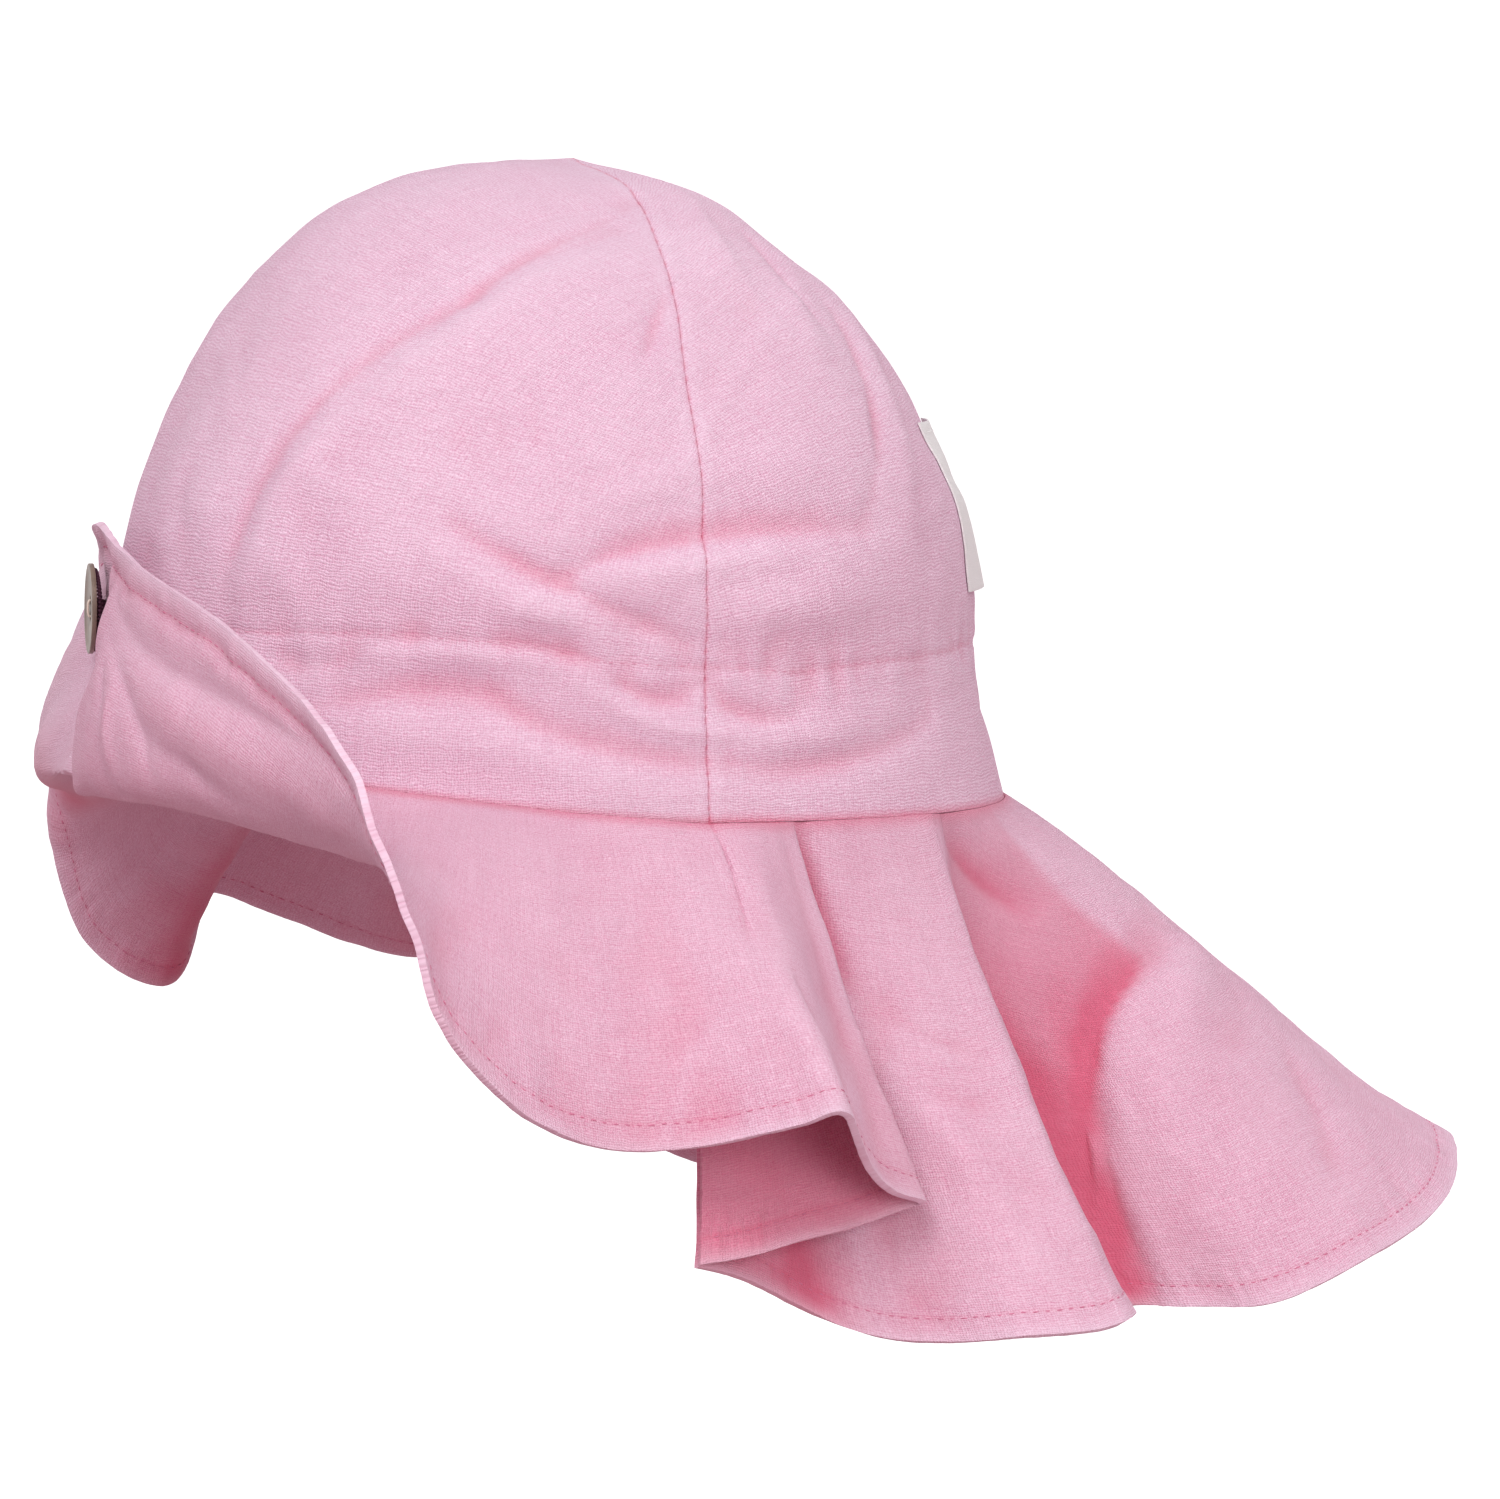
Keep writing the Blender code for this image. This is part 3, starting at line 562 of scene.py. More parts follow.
# The brim: one curved strip of linen, sewn into the band seam and hemmed. At the front it is
# turned up flat against the crown and buttoned, and at each ear it folds under itself.
HEM_WALL = 1.35
BAND_DROP = 0.15
LAYER = 1.4
HEM_STITCH = 4.7
BRIM_ROWS = np.array((
    # around, layer, near_out, near_up, far_out, far_up, hem_around, hem_out, hem_up
    (0, 0, 19, -13, -10, 28, 0, 1.2, 51),
    (6, 0, 19, -12, -9, 27, 6, 1.4, 50.5),
    (11.5, 0, 18, -10, 12, 13, 13, 3, 48),
    (20, 0, 17, -5, 27, 7, 22.5, 8.5, 46),
    (33, 0, 19, -3, 35, 3, 36, 20, 41),
    (42, 0, 20, -5, 40, 0, 45, 31, 35),
    (49, 0, 20, -7, 44, -3, 53, 43, 25),
    (54, 0, 21, -8, 45, -6, 57.5, 53.5, 15),
    (58, 0, 22, -7, 44, -7, 60, 60, 3),
    (61, 0, 22, -6, 44, -12, 62.5, 61, -11.5),
    (64, 0, 22, -5, 44, -18, 64.5, 58, -29),
    (68, 0, 21, -6, 42, -25, 69.5, 49, -44),
    (74, 0.3, 18, -10, 36, -30, 76, 41, -51.5),
    (81, 1, 16, -13, 32, -34, 84, 39, -52),
    (88, 2, 16, -12, 34, -30, 91, 46, -48),
    (93, 2, 16, -12, 34, -28, 94.5, 49, -46),
    (97, 2, 13, -17, 28, -38, 99, 37, -56.5),
    (99, 2, 10, -20, 22, -42, 103, 33, -62.5),
    (101, 1.5, 8, -21, 19, -42, 107.5, 30.5, -65.5),
    (99, 1, 6, -22, 16, -44, 107, 27, -67),
    (96, 1, 7, -22, 16, -46, 101, 25, -70),
    (93, 1, 8, -23, 18, -49, 95, 26, -71.5),
    (90.5, 1, 9, -24, 21, -51, 89, 30, -73),
    (88.5, 1, 10, -25, 23, -52, 84.5, 33, -73.5),
))
FAR_BRIM_ROWS = np.array((
    # around, layer, near_out, near_up, far_out, far_up, hem_around, hem_out, hem_up
    (-6.5, 0, 19.5, -12, -11, 28, -6.5, 0, 49),
    (-12, 0, 17, -10, 7, 16, -12, -2, 46),
    (-17, 0, 18, -9, 16, 9, -17, -1.6, 42.5),
    (-25, 0, 19, -9, 24, 3, -25, 1.5, 38),
    (-32, 0, 20, -11, 32, -4, -32, 9, 34),
    (-38, 0, 20, -11, 36, -10, -38, 17, 25),
    (-43, 0, 20, -10, 39, -14, -43, 28, 13),
    (-47, 0, 20, -8, 41, -16, -47, 40, -1),
    (-51, 0, 20, -6, 42, -19, -50.5, 48, -18),
    (-56, 0, 19, -6, 40, -25, -54, 50, -36),
    (-60, 0, 18, -8, 36, -28, -58, 47, -45),
    (-64, 0, 18, -10, 34, -28, -62, 45, -47.5),
    (-68, 0, 20, -6, 42, -20, -66, 50, -41),
    (-72, 0.3, 20, -4, 44, -14, -69, 58, -31),
    (-78, 0.8, 18, -7, 40, -20, -76, 54, -37),
    (-85, 1.5, 16, -11, 34, -30, -86, 49, -45),
    (-92, 2, 16, -12, 34, -28, -98, 49, -44),
    (-97, 2, 13, -17, 28, -38, -108, 37, -54),
    (-99, 2, 10, -20, 22, -42, -114, 33, -60),
    (-101, 1.5, 8, -21, 19, -42, -118, 31, -62),
    (-99, 1, 6, -22, 16, -44, -117, 27.5, -64),
    (-96, 1, 7, -22, 16, -46, -113, 25, -67),
    (-93, 1, 8, -23, 18, -49, -109, 26, -69),
    (-90.5, 1, 9, -24, 21, -51, -104, 30, -70.5),
    (-88.5, 1, 10, -25, 23, -52, -101, 33, -71),
))
# Folds in the brim, by degrees around and by the share of the way from band to hem. The
# turned-up front shows its underside, so there a dent has a positive depth: the ones up to
# the far side's curl in under the hem and fan out from the button. Then come the crest
# before the ear, the dent behind it and the short dart that is sewn below the seam.
BRIM_FOLDS = (
    # around_a, down_a, around_b, down_b, around_c, down_c, left, right, depth, crisp
    (15, 0.95, 35, 0.87, 53, 0.93, 3.2, 3.4, 1.9, 0.5),
    (20, 0.86, 37, 0.79, 54, 0.74, 6.0, 5.0, -1.3, 0.1),
    (18, 0.88, 27.5, 0.78, 31.5, 0.58, 2.0, 3.6, 1.6, 0.8),
    (20.5, 0.84, 21.7, 0.79, 23, 0.72, 1.4, 1.6, 0.7, 0.6),
    (30, 0.71, 35.5, 0.67, 42, 0.6, 3.0, 3.0, 1.0, 0.3),
    (24, 0.8, 24.8, 0.7, 25.5, 0.58, 2.0, 2.0, -0.8, 0.2),
    (-2, 0.28, 1.5, 0.5, 2.5, 0.7, 4.5, 5.5, 1.6, 0.3),
    (3.5, 0.4, 8, 0.62, 12, 0.84, 4.5, 4.5, 1.9, 0.2),
    (0, 0.34, 3.5, 0.48, 6, 0.64, 4.0, 4.0, 2.6, 0.2),
    (8, 0.62, 13, 0.75, 18, 0.84, 5.0, 4.0, 1.9, 0.1),
    (6, 0.6, 9.3, 0.78, 11.5, 0.94, 4.0, 3.5, 2.4, 0.1),
    (-6, 0.58, -2, 0.65, 3, 0.7, 4.0, 4.0, 1.3, 0.1),
    (-6, 0.74, -15, 0.66, -26, 0.56, 4.0, 4.0, 1.0, 0.3),
    (-12, 0.86, -24, 0.8, -34, 0.66, 3.0, 3.0, 0.8, 0.3),
    (-4, 0.62, -8, 0.55, -14, 0.45, 3.0, 3.0, -0.8, 0.2),
    (83.2, 0.02, 87.5, 0.52, 93.5, 0.96, 4.0, 9.0, 1.4, 0.5),
    (90, 0.3, 93.5, 0.6, 96, 0.88, 4.5, 4.0, -1.1, 0.3),
    (61, 0.25, 63, 0.5, 62, 0.8, 6.0, 6.0, -0.8, 0),
    (70, 0.12, 72, 0.3, 70, 0.5, 5.0, 5.0, 0.6, 0),
    (89.3, 0.0, 89.8, 0.17, 88.9, 0.43, 0.55, 0.55, -0.8, 0.5),
)
# Stretches where the columns lie closer together, for the sharp folds at the near side.
BRIM_CLOSER = ((30, 14, 1.0), (89.5, 5, 1.6))
# Painted shade in the valley between two folds, which only its own pink walls light.
BRIM_VALLEY = np.array((
    # down, around_start, around_end, painted shade
    (0.0, 96, 101, 0.0), (0.5, 96, 101, 0.2), (1.0, 98, 106, 0.2),
))


def band_outward(around):
    """The level direction square to the band seam, away from the head."""
    zero = np.zeros_like(around, dtype=float)
    along_band = crown_point(around + 0.01, zero) - crown_point(around - 0.01, zero)
    outward = np.stack((along_band[..., 1], -along_band[..., 0], zero), axis=-1)
    outward /= np.linalg.norm(outward, axis=-1, keepdims=True)
    level_place = crown_point(around, zero) * (1, 1, 0)
    return outward * np.sign(np.sum(outward * level_place, axis=-1))[..., None]


def skirt_point(rows, at, down):
    """Points of a skirt's middle surface; `down` runs from the band (0) to the hem (1)."""
    table = np.moveaxis(spline(rows, at), -1, 0)
    around, layer, near_out, near_up, far_out, far_up, hem_around, hem_out, hem_up = table
    up = 1 - down
    near_share, far_share = 3 * down * up**2, 3 * down**2 * up
    out = layer * LAYER * up**3 + near_share * near_out + far_share * far_out + down**3 * hem_out
    band_up = crown_point(around, np.zeros_like(around))[..., 2] - BAND_DROP
    height = band_up * up**3 + near_share * near_up + far_share * far_up + down**3 * hem_up
    turn = around + (hem_around - around) * down
    points = crown_point(turn, np.zeros_like(turn)) + band_outward(turn) * out[..., None]
    points[..., 2] = height
    return points


def skirt_grid(rows, columns, levels, hem_levels, hem_step, closer):
    """Columns of points with close levels at the hem, and their distance from it."""
    dense_at = np.linspace(0, len(rows) - 1, 60 * (len(rows) - 1) + 1)
    line = skirt_point(rows, dense_at, np.full_like(dense_at, 0.8))
    steps = np.linalg.norm(np.diff(line, axis=0), axis=-1)
    middles = spline(rows, (dense_at[:-1] + dense_at[1:]) / 2)[:, 0]
    steps *= 1 + sum(more * np.exp(-((middles - around) / width) ** 2) for around, width, more in closer)
    run = np.concatenate(((0,), np.cumsum(steps)))
    at = np.interp(np.linspace(0, run[-1], columns + 1), run, dense_at)
    dense = np.linspace(0, 1, 161)
    spread = np.broadcast_to(at[:, None], (len(at), len(dense)))
    lines = skirt_point(rows, spread, np.broadcast_to(dense, spread.shape))
    steps = np.linalg.norm(np.diff(lines, axis=1), axis=-1)
    run = np.concatenate((np.zeros((len(at), 1)), np.cumsum(steps, axis=1)), axis=1)
    close = np.broadcast_to(np.arange(hem_levels) * hem_step, (len(at), hem_levels))
    edge = hem_levels * hem_step
    wide = edge + (run[:, -1:] - edge) * np.linspace(0, 1, levels - hem_levels + 1)
    from_hem = np.concatenate((close, wide), axis=1)
    down = np.array([np.interp(total[-1] - reach, total, dense) for total, reach in zip(run, from_hem)])
    spread = np.broadcast_to(at[:, None], down.shape)
    return spread, down, from_hem, skirt_point(rows, spread, down)


def strip_pattern(points, from_hem):
    """A strip laid flat, in millimetres: the run along its middle and the distance from the hem."""
    steps = np.linalg.norm(np.diff(points[:, points.shape[1] // 2], axis=0), axis=-1)
    run = np.concatenate(((0,), np.cumsum(steps)))
    return np.stack((run[:, None] + from_hem * 0, from_hem), axis=-1)


def skirt_cloth(name, rows, columns, levels, folds, closer, covered, valley, seed, finish):
    """The brim or the flap; its rows before and after the two covered ones lie underneath and are painted in shade.
    """
    spread, down, from_hem, points = skirt_grid(rows, columns, levels, 18, 0.5, closer)
    normals = surface_normals(points)
    peak = int(np.argmax(rows[:, 0]))
    angles = rows[:peak + 1, 0]

    def fold_place(around, down_share):
        return skirt_point(rows, np.interp(around, angles, np.arange(peak + 1)), down_share)

    outer = spread < peak + 0.5
    fold_move = fold_heights(points, normals, folds, fold_place) * outer
    loose = np.clip(down * 2.5, 0, 1)
    move = fold_move + loose * (0.7 * crumple(points, 22, seed) + 0.35 * crumple(points, 9, seed + 1))
    move += loose * 0.25 * (creases(points, 28, seed + 2) - 0.25)
    puckers = crumple(np.stack((spread * 10, from_hem * 0.1, spread * 0), axis=-1), 1.0, seed + 3)
    move += 0.4 * puckers * np.exp(-((from_hem - HEM_STITCH) / 4.0) ** 2)
    move += 0.1 * crumple(points, 3.5, seed + 4)
    around = spline(rows, spread)[..., 0]
    turned_up = np.clip((around + 16) / 8, 0, 1) * np.clip((60 - around) / 10, 0, 1)
    below_hem = turned_up * np.exp(-((from_hem - 4.9 - 1.2 * crumple(points, 6, seed + 6)) / 1.8) ** 2)
    move += 0.8 * below_hem
    shaped = points + normals * move[..., None]

    groove = np.exp(-((from_hem - HEM_STITCH) / 0.45) ** 2)
    hem = np.clip((HEM_STITCH + 0.9 - from_hem) / 1.8, 0, 1)
    rolled = np.exp(-((from_hem + 0.5 * crumple(points, 7, seed + 5)) / 2.4) ** 4)
    thick = np.clip(0.42 + 0.16 * hem + 0.42 * rolled - 0.22 * groove, 0, 1)
    relief = sunken(shaped, normals, 6)
    # Paler at the hem edge, on the rolled hem and on ridges: partly wear, partly painted highlight where they catch
    # the light.
    wear_and_highlight = 0.35 * np.clip(1 - from_hem / 1.4, 0, 1) + 0.3 * rolled + 0.2 * np.clip(-relief / 1.5, 0, 1)
    # A painted cool highlight on the far side of the turned-up front, which faces the light from the front.
    wear_and_highlight += 0.9 * np.exp(-((around + 20) / 16) ** 2)
    # Painted shade in the hollows, in broad valleys, in the hem's stitch groove and deep in the dents.
    broad = sunken(shaped, normals, 16) * (1 - turned_up)
    painted_shade_and_seams = 0.4 * np.clip(relief / 1.5, 0, 1) * (1 - 0.7 * turned_up) + 0.5 * np.clip(broad / 5.0 - 0.1, 0, 1)
    painted_shade_and_seams += 0.15 * groove + 0.15 * np.clip(-fold_move / 4.5 - 0.15, 0, 1)
    # Painted shadow along the band seam and under the turned-up hem.
    painted_shade_and_seams += 0.6 * np.exp(-((from_hem[:, -1:] - from_hem) / 1.5) ** 2) + 0.2 * below_hem
    # Painted shade on the layers that lie under a fold.
    painted_shade_and_seams += 0.7 * (np.clip(covered[0] - spread, 0, 1) + np.clip(spread - covered[1], 0, 1))
    # Painted shade in the valley given by the valley table.
    valley_start = np.interp(down, valley[:, 0], valley[:, 1])
    valley_end = np.interp(down, valley[:, 0], valley[:, 2])
    depth = np.interp(down, valley[:, 0], valley[:, 3])
    painted_shade_and_seams += depth * np.clip((around - valley_start) / 3.0, 0, 1) * np.clip((valley_end - around) / 2.0, 0, 1)
    values = {"wear_and_highlight": wear_and_highlight, "painted_shade_and_seams": painted_shade_and_seams}
    item = cloth_mesh(name, shaped, strip_pattern(points, from_hem), values)
    group = item.vertex_groups.new(name="thick")
    for index, weight in enumerate(thick.ravel()):
        group.add((index,), float(weight), "REPLACE")
    wall = give_wall(item, HEM_WALL, 0.0, HEM_WALL * 0.3)
    wall.vertex_group = "thick"
    wall.thickness_vertex_group = 0.45
    item.data.materials.append(finish)
    return item, shaped, surface_normals(shaped), from_hem


skirt_linen = linen("skirt_linen", (0.85, 0.58, 0.71), (0.67, 0.28, 0.42), PAINTED_SHADE_PINK, WEAR_AND_HIGHLIGHT_PINK, 0.3)
brim_rows = np.concatenate((FAR_BRIM_ROWS[::-1], BRIM_ROWS))
brim, brim_points, brim_normals, brim_from_hem = skirt_cloth(
    "brim_cloth", brim_rows, 620, 72, BRIM_FOLDS, BRIM_CLOSER, (5, 43), BRIM_VALLEY, 20, skirt_linen)
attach(brim, "root")
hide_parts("brim")


# The neck flap: a longer strip cut on a wider curve, so that it hangs in flutes over the
# neck. It is sewn to the brim's folded ends and hemmed in the same way.
FLAP_ROWS = np.array((
    # around, layer, near_out, near_up, far_out, far_up, hem_around, hem_out, hem_up
    (88.5, 0, 8.7, -25.6, 21.7, -52.6, 84.5, 31.7, -74.1),
    (91, 0, 6, -28, 15, -56, 89, 26, -77.5),
    (95.5, 0, 5, -30, 12, -60, 97, 21, -85),
    (101, 0, 5, -32, 14, -62, 103.5, 27, -89.5),
    (108, 0, 6, -33, 16, -63, 108.5, 35, -90),
    (115, 0, 9, -32, 26, -60, 113, 46, -88.5),
    (122, 0, 10, -30, 30, -58, 119, 52, -88),
    (127, 0, 10, -30, 29, -58, 123, 51, -87),
    (131, 0, 7, -32, 20, -60, 130, 39, -88.5),
    (136, 0, 5, -33, 14, -62, 138, 31, -91),
    (142, 0, 8, -32, 22, -60, 140, 45, -91),
    (149, 0, 14, -28, 40, -56, 141, 59, -89.5),
    (157, 0, 24, -24, 52, -52, 147, 72, -83),
    (166, 0, 28, -20, 57, -52, 156, 82, -77),
    (175, 0, 30, -20, 58, -52, 167, 87, -71),
    (180, 0, 30, -20, 58, -52, 178, 88, -70),
    (188, 0, 30, -20, 58, -52, 190, 87, -72),
    (196, 0, 27, -21, 55, -52, 199, 79, -77),
    (203, 0, 20, -26, 44, -53, 206, 65, -85),
    (210, 0, 12, -29, 30, -57, 211, 50, -89),
    (216, 0, 6, -33, 17, -61, 216, 37, -90),
    (221, 0, 6, -33, 18, -61, 220, 38, -89),
    (228, 0, 10, -31, 28, -58, 226, 49, -87.5),
    (236, 0, 9, -31, 25, -59, 232, 46, -87),
    (245, 0, 6, -32, 15, -62, 238, 32, -87),
    (254, 0, 5, -32, 12, -61, 243, 24, -86),
    (262, 0, 5, -31, 11, -58, 249, 20.5, -81),
    (268, 0, 6, -28, 15, -55, 255, 26, -74),
    (271.5, 0, 8.7, -25.6, 21.7, -52.6, 259, 31.7, -71.6),
))
# Folds in the flap: the crest behind the ear with the deep valley beside it, the big dent
# that runs into the valley from behind, puckers below the seam, and soft ones elsewhere.
FLAP_FOLDS = (
    # around_a, down_a, around_b, down_b, around_c, down_c, left, right, depth, crisp
    (103.2, 0.01, 104.4, 0.12, 107, 0.3, 2.6, 2.2, -3.0, 0.4),
    (126.5, 0.1, 124.6, 0.5, 124.6, 0.99, 2.6, 7.0, 1.7, 0.6),
    (131, 0.12, 134.5, 0.5, 136.5, 0.97, 8.0, 5.0, -3.6, 0.2),
    (163, 0.385, 149.5, 0.44, 141.5, 0.64, 2.6, 13.0, -3.6, 0.5),
    (145, 0.55, 141, 0.74, 139.5, 0.96, 2.6, 7.0, -2.4, 0.5),
    (166, 0.42, 155, 0.5, 147, 0.7, 6.0, 4.0, 1.4, 0),
    (130, 0.03, 137, 0.12, 145, 0.21, 3.6, 2.6, -1.9, 0.4),
    (141, 0.03, 149, 0.12, 158, 0.2, 5.0, 5.0, 1.0, 0.1),
    (112, 0.36, 117, 0.44, 122, 0.48, 2.6, 2.2, -0.8, 0.4),
    (113, 0.53, 117, 0.56, 121, 0.58, 2.6, 2.0, -0.9, 0.5),
    (111, 0.5, 116, 0.7, 118.5, 0.95, 3.5, 3.5, 0.9, 0.2),
    (104, 0.5, 105, 0.7, 106, 0.95, 3.0, 3.0, -0.8, 0.2),
    (165, 0.64, 161.5, 0.75, 158.5, 0.86, 3.0, 5.0, -0.9, 0.3),
    (200, 0.3, 210, 0.42, 222, 0.4, 4.0, 4.0, -1.6, 0.4),
    (232, 0.3, 236, 0.5, 238, 0.7, 4.0, 4.0, 0.8, 0.2),
    (184, 0.2, 180, 0.5, 183, 0.9, 8.0, 8.0, -1.2, 0),
)
FLAP_CLOSER = ((132, 16, 0.8),)
# Painted shade in the deep valley beside the crest, which only its own pink walls light.
FLAP_VALLEY = np.array((
    # down, around_start, around_end, painted shade
    (0.0, 128, 146, 0.1), (0.12, 128, 150, 0.4), (0.38, 128, 158, 0.5), (0.46, 128, 149, 0.5),
    (0.62, 128, 143, 0.5), (0.8, 128, 141.5, 0.6), (1.0, 128, 140, 0.5),
))
flap, flap_points, flap_normals, flap_from_hem = skirt_cloth(
    "neck_flap_cloth", FLAP_ROWS, 560, 80, FLAP_FOLDS, FLAP_CLOSER, (3, 26), FLAP_VALLEY, 40, skirt_linen)
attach(flap, "root")
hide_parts("neck_flap")


# The stitching: a row of short machine stitches in deep pink thread along each hem, on both
# faces, and round the casing of the crown. Each stitch sinks into the cloth at its ends.
STITCH_PITCH = 2.2
STITCH_LENGTH = 1.15
STITCH_RADIUS = 0.13
STITCH_RING = 6


def thread_finish(name, colour):
    """Matt cotton thread in one colour."""
    finish = bpy.data.materials.new(name)
    finish.use_nodes = True
    shader = finish.node_tree.nodes["Principled BSDF"]
    shader.inputs["Base Color"].default_value = (*colour, 1.0)
    shader.inputs["Roughness"].default_value = 0.75
    shader.inputs["Specular IOR Level"].default_value = 0.3
    return finish


hem_thread = thread_finish("deep_pink_thread", (0.64, 0.21, 0.33))
casing_thread = thread_finish("mid_pink_thread", (0.68, 0.33, 0.45))


def stitch_row(name, line, facing, sink, finish):
    """Small capsules laid end to end along a line, each flat on the face it is sewn through."""
    run = np.concatenate(((0,), np.cumsum(np.linalg.norm(np.diff(line, axis=0), axis=-1))))
    middles = np.arange(STITCH_PITCH, run[-1] - STITCH_PITCH / 2, STITCH_PITCH)

    def at(values, distance):
        return np.stack([np.interp(distance, run, values[:, axis]) for axis in range(3)], axis=-1)

    half = STITCH_LENGTH / 2
    uneven = np.random.default_rng(len(middles)).uniform(-1, 1, (len(middles), 2))
    centres = at(line, middles)
    ahead = at(line, middles + half) - at(line, middles - half)
    ahead /= np.linalg.norm(ahead, axis=-1, keepdims=True)
    outward = at(facing, middles)
    outward -= np.sum(outward * ahead, axis=-1, keepdims=True) * ahead
    outward /= np.linalg.norm(outward, axis=-1, keepdims=True)
    sideways = np.cross(ahead, outward)
    sections = ((-1.0, 0.0, -0.5), (-0.75, 0.75, -0.15), (0.0, 1.0, 0.25), (0.75, 0.75, -0.15), (1.0, 0.0, -0.5))
    points, faces = [], []
    for centre, forward, out, side, (longer, deeper) in zip(centres, ahead, outward, sideways, uneven):
        rings = []
        for step, width, rise in sections:
            count = 1 if width == 0.0 else STITCH_RING
            rings.append(list(range(len(points), len(points) + count)))
            for corner in range(count):
                turn = 2 * math.pi * corner / STITCH_RING
                spread = STITCH_RADIUS * width * (side * math.cos(turn) + out * math.sin(turn))
                place = centre + forward * half * (1 + 0.2 * longer) * step + spread
                points.append(place + out * (STITCH_RADIUS * rise - sink - 0.05 * deeper))
        for low, high in zip(rings[:-1], rings[1:]):
            for corner in range(STITCH_RING):
                after = (corner + 1) % STITCH_RING
                if len(low) == 1:
                    faces.append((low[0], high[corner], high[after]))
                elif len(high) == 1:
                    faces.append((low[corner], high[0], low[after]))
                else:
                    faces.append((low[corner], high[corner], high[after], low[after]))
    mesh = bpy.data.meshes.new(name)
    mesh.from_pydata([tuple(point * MM) for point in points], [], faces)
    shell = bmesh.new()
    shell.from_mesh(mesh)
    bmesh.ops.recalc_face_normals(shell, faces=shell.faces)
    shell.to_mesh(mesh)
    shell.free()
    mesh.shade_smooth()
    mesh.materials.append(finish)
    item = bpy.data.objects.new(name, mesh)
    bpy.context.scene.collection.objects.link(item)
    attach(item, "root")
    return item


for name, points, normals, from_hem in (
    ("brim", brim_points, brim_normals, brim_from_hem),
    ("neck_flap", flap_points, flap_normals, flap_from_hem),
):
    level = int(np.argmin(np.abs(from_hem[0] - HEM_STITCH)))
    line, facing = points[:, level], normals[:, level]
    half_wall = HEM_WALL * 0.5 * 0.7
    stitch_row(f"{name}_hem_stitches_outer", line + facing * half_wall, facing, 0.02, hem_thread)
    stitch_row(f"{name}_hem_stitches_inner", line - facing * half_wall, -facing, 0.02, hem_thread)
front_row = stitch_row(
    "crown_front_casing_stitches", front_casing, front_casing_facing, 0.07, casing_thread)
back_row = stitch_row(
    "crown_back_casing_stitches", back_casing, back_casing_facing, 0.07, casing_thread)


# The button: a turned disc in mottled taupe plastic with a low rim and a dished face. It is
# sewn through its two holes with pale thread and stands a little off the turned-up cloth.
BUTTON_RADIUS = 8.3
BUTTON_THICKNESS = 0.9
BUTTON_TURN = -6.0
BUTTON_TILT = -1.0
RIM_WIDTH = 0.9
RIM_SLOPE = 0.6
DISH_DEPTH = 0.25
HOLE_RADIUS = 0.9
HOLE_OUT = 1.5
button_low, button_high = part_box("button")
button_middle = (button_low + button_high) / 2
button_facing = (Matrix.Rotation(math.radians(BUTTON_TURN), 3, "Z")
                 @ Matrix.Rotation(math.radians(90 + BUTTON_TILT), 3, "X"))


def select_faces(item, wanted):
    """Enters edit mode with just the faces of the item that are wanted selected."""
    bpy.ops.object.mode_set(mode="EDIT")
    bpy.ops.mesh.select_mode(type="FACE")
    bpy.ops.mesh.select_all(action="DESELECT")
    bpy.ops.object.mode_set(mode="OBJECT")
    for face in item.data.polygons:
        face.select = wanted(face)
    bpy.ops.object.mode_set(mode="EDIT")


bpy.ops.object.select_all(action="DESELECT")
bpy.ops.mesh.primitive_cylinder_add(vertices=72, radius=BUTTON_RADIUS * MM, depth=BUTTON_THICKNESS * MM)
button = bpy.context.object
button.name = "turned_button"
select_faces(button, lambda face: face.normal.z > 0.9)
bpy.ops.mesh.inset(thickness=RIM_WIDTH * MM, depth=0)
bpy.ops.mesh.inset(thickness=RIM_SLOPE * MM, depth=-DISH_DEPTH * MM)
bpy.ops.mesh.inset(thickness=3.2 * MM, depth=0)
bpy.ops.mesh.inset(thickness=0.8 * MM, depth=-0.15 * MM)
bpy.ops.object.mode_set(mode="OBJECT")
for side in (-1, 1):
    bpy.ops.mesh.primitive_cylinder_add(
        vertices=24, radius=HOLE_RADIUS * MM, depth=6 * MM, location=(0, side * HOLE_OUT * MM, 0))
    drill = bpy.context.object
    bpy.ops.object.select_all(action="DESELECT")
    button.select_set(True)
    bpy.context.view_layer.objects.active = button
    hole = button.modifiers.new("hole", "BOOLEAN")
    hole.object = drill
    bpy.ops.object.modifier_apply(modifier=hole.name)
    bpy.data.objects.remove(drill, do_unlink=True)
edge = button.modifiers.new("rounded_edge", "BEVEL")
edge.width = 0.22 * MM
edge.segments = 3
edge.angle_limit = math.radians(35)
bpy.ops.object.modifier_apply(modifier=edge.name)
bpy.ops.object.shade_smooth_by_angle(angle=math.radians(30))
button.matrix_world = Matrix.Translation(button_middle) @ button_facing.to_4x4()
bpy.ops.object.transform_apply(location=True, rotation=True, scale=True)

button_finish = bpy.data.materials.new("mottled_taupe")
button_finish.use_nodes = True
button_tree = button_finish.node_tree
button_shader = button_tree.nodes["Principled BSDF"]
button_place = add_node(button_tree, "ShaderNodeTexCoord").outputs["Object"]
mottle = add_node(button_tree, "ShaderNodeTexNoise", in_Vector=button_place, in_Scale=420.0, in_Detail=5.0)
button_tree.links.new(mix_colours(button_tree, mottle.outputs["Fac"], (0.10, 0.07, 0.05), (0.35, 0.27, 0.21)),
                      button_shader.inputs["Base Color"])
button_shader.inputs["Roughness"].default_value = 0.42
button.data.materials.append(button_finish)
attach(button, "root")
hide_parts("button")


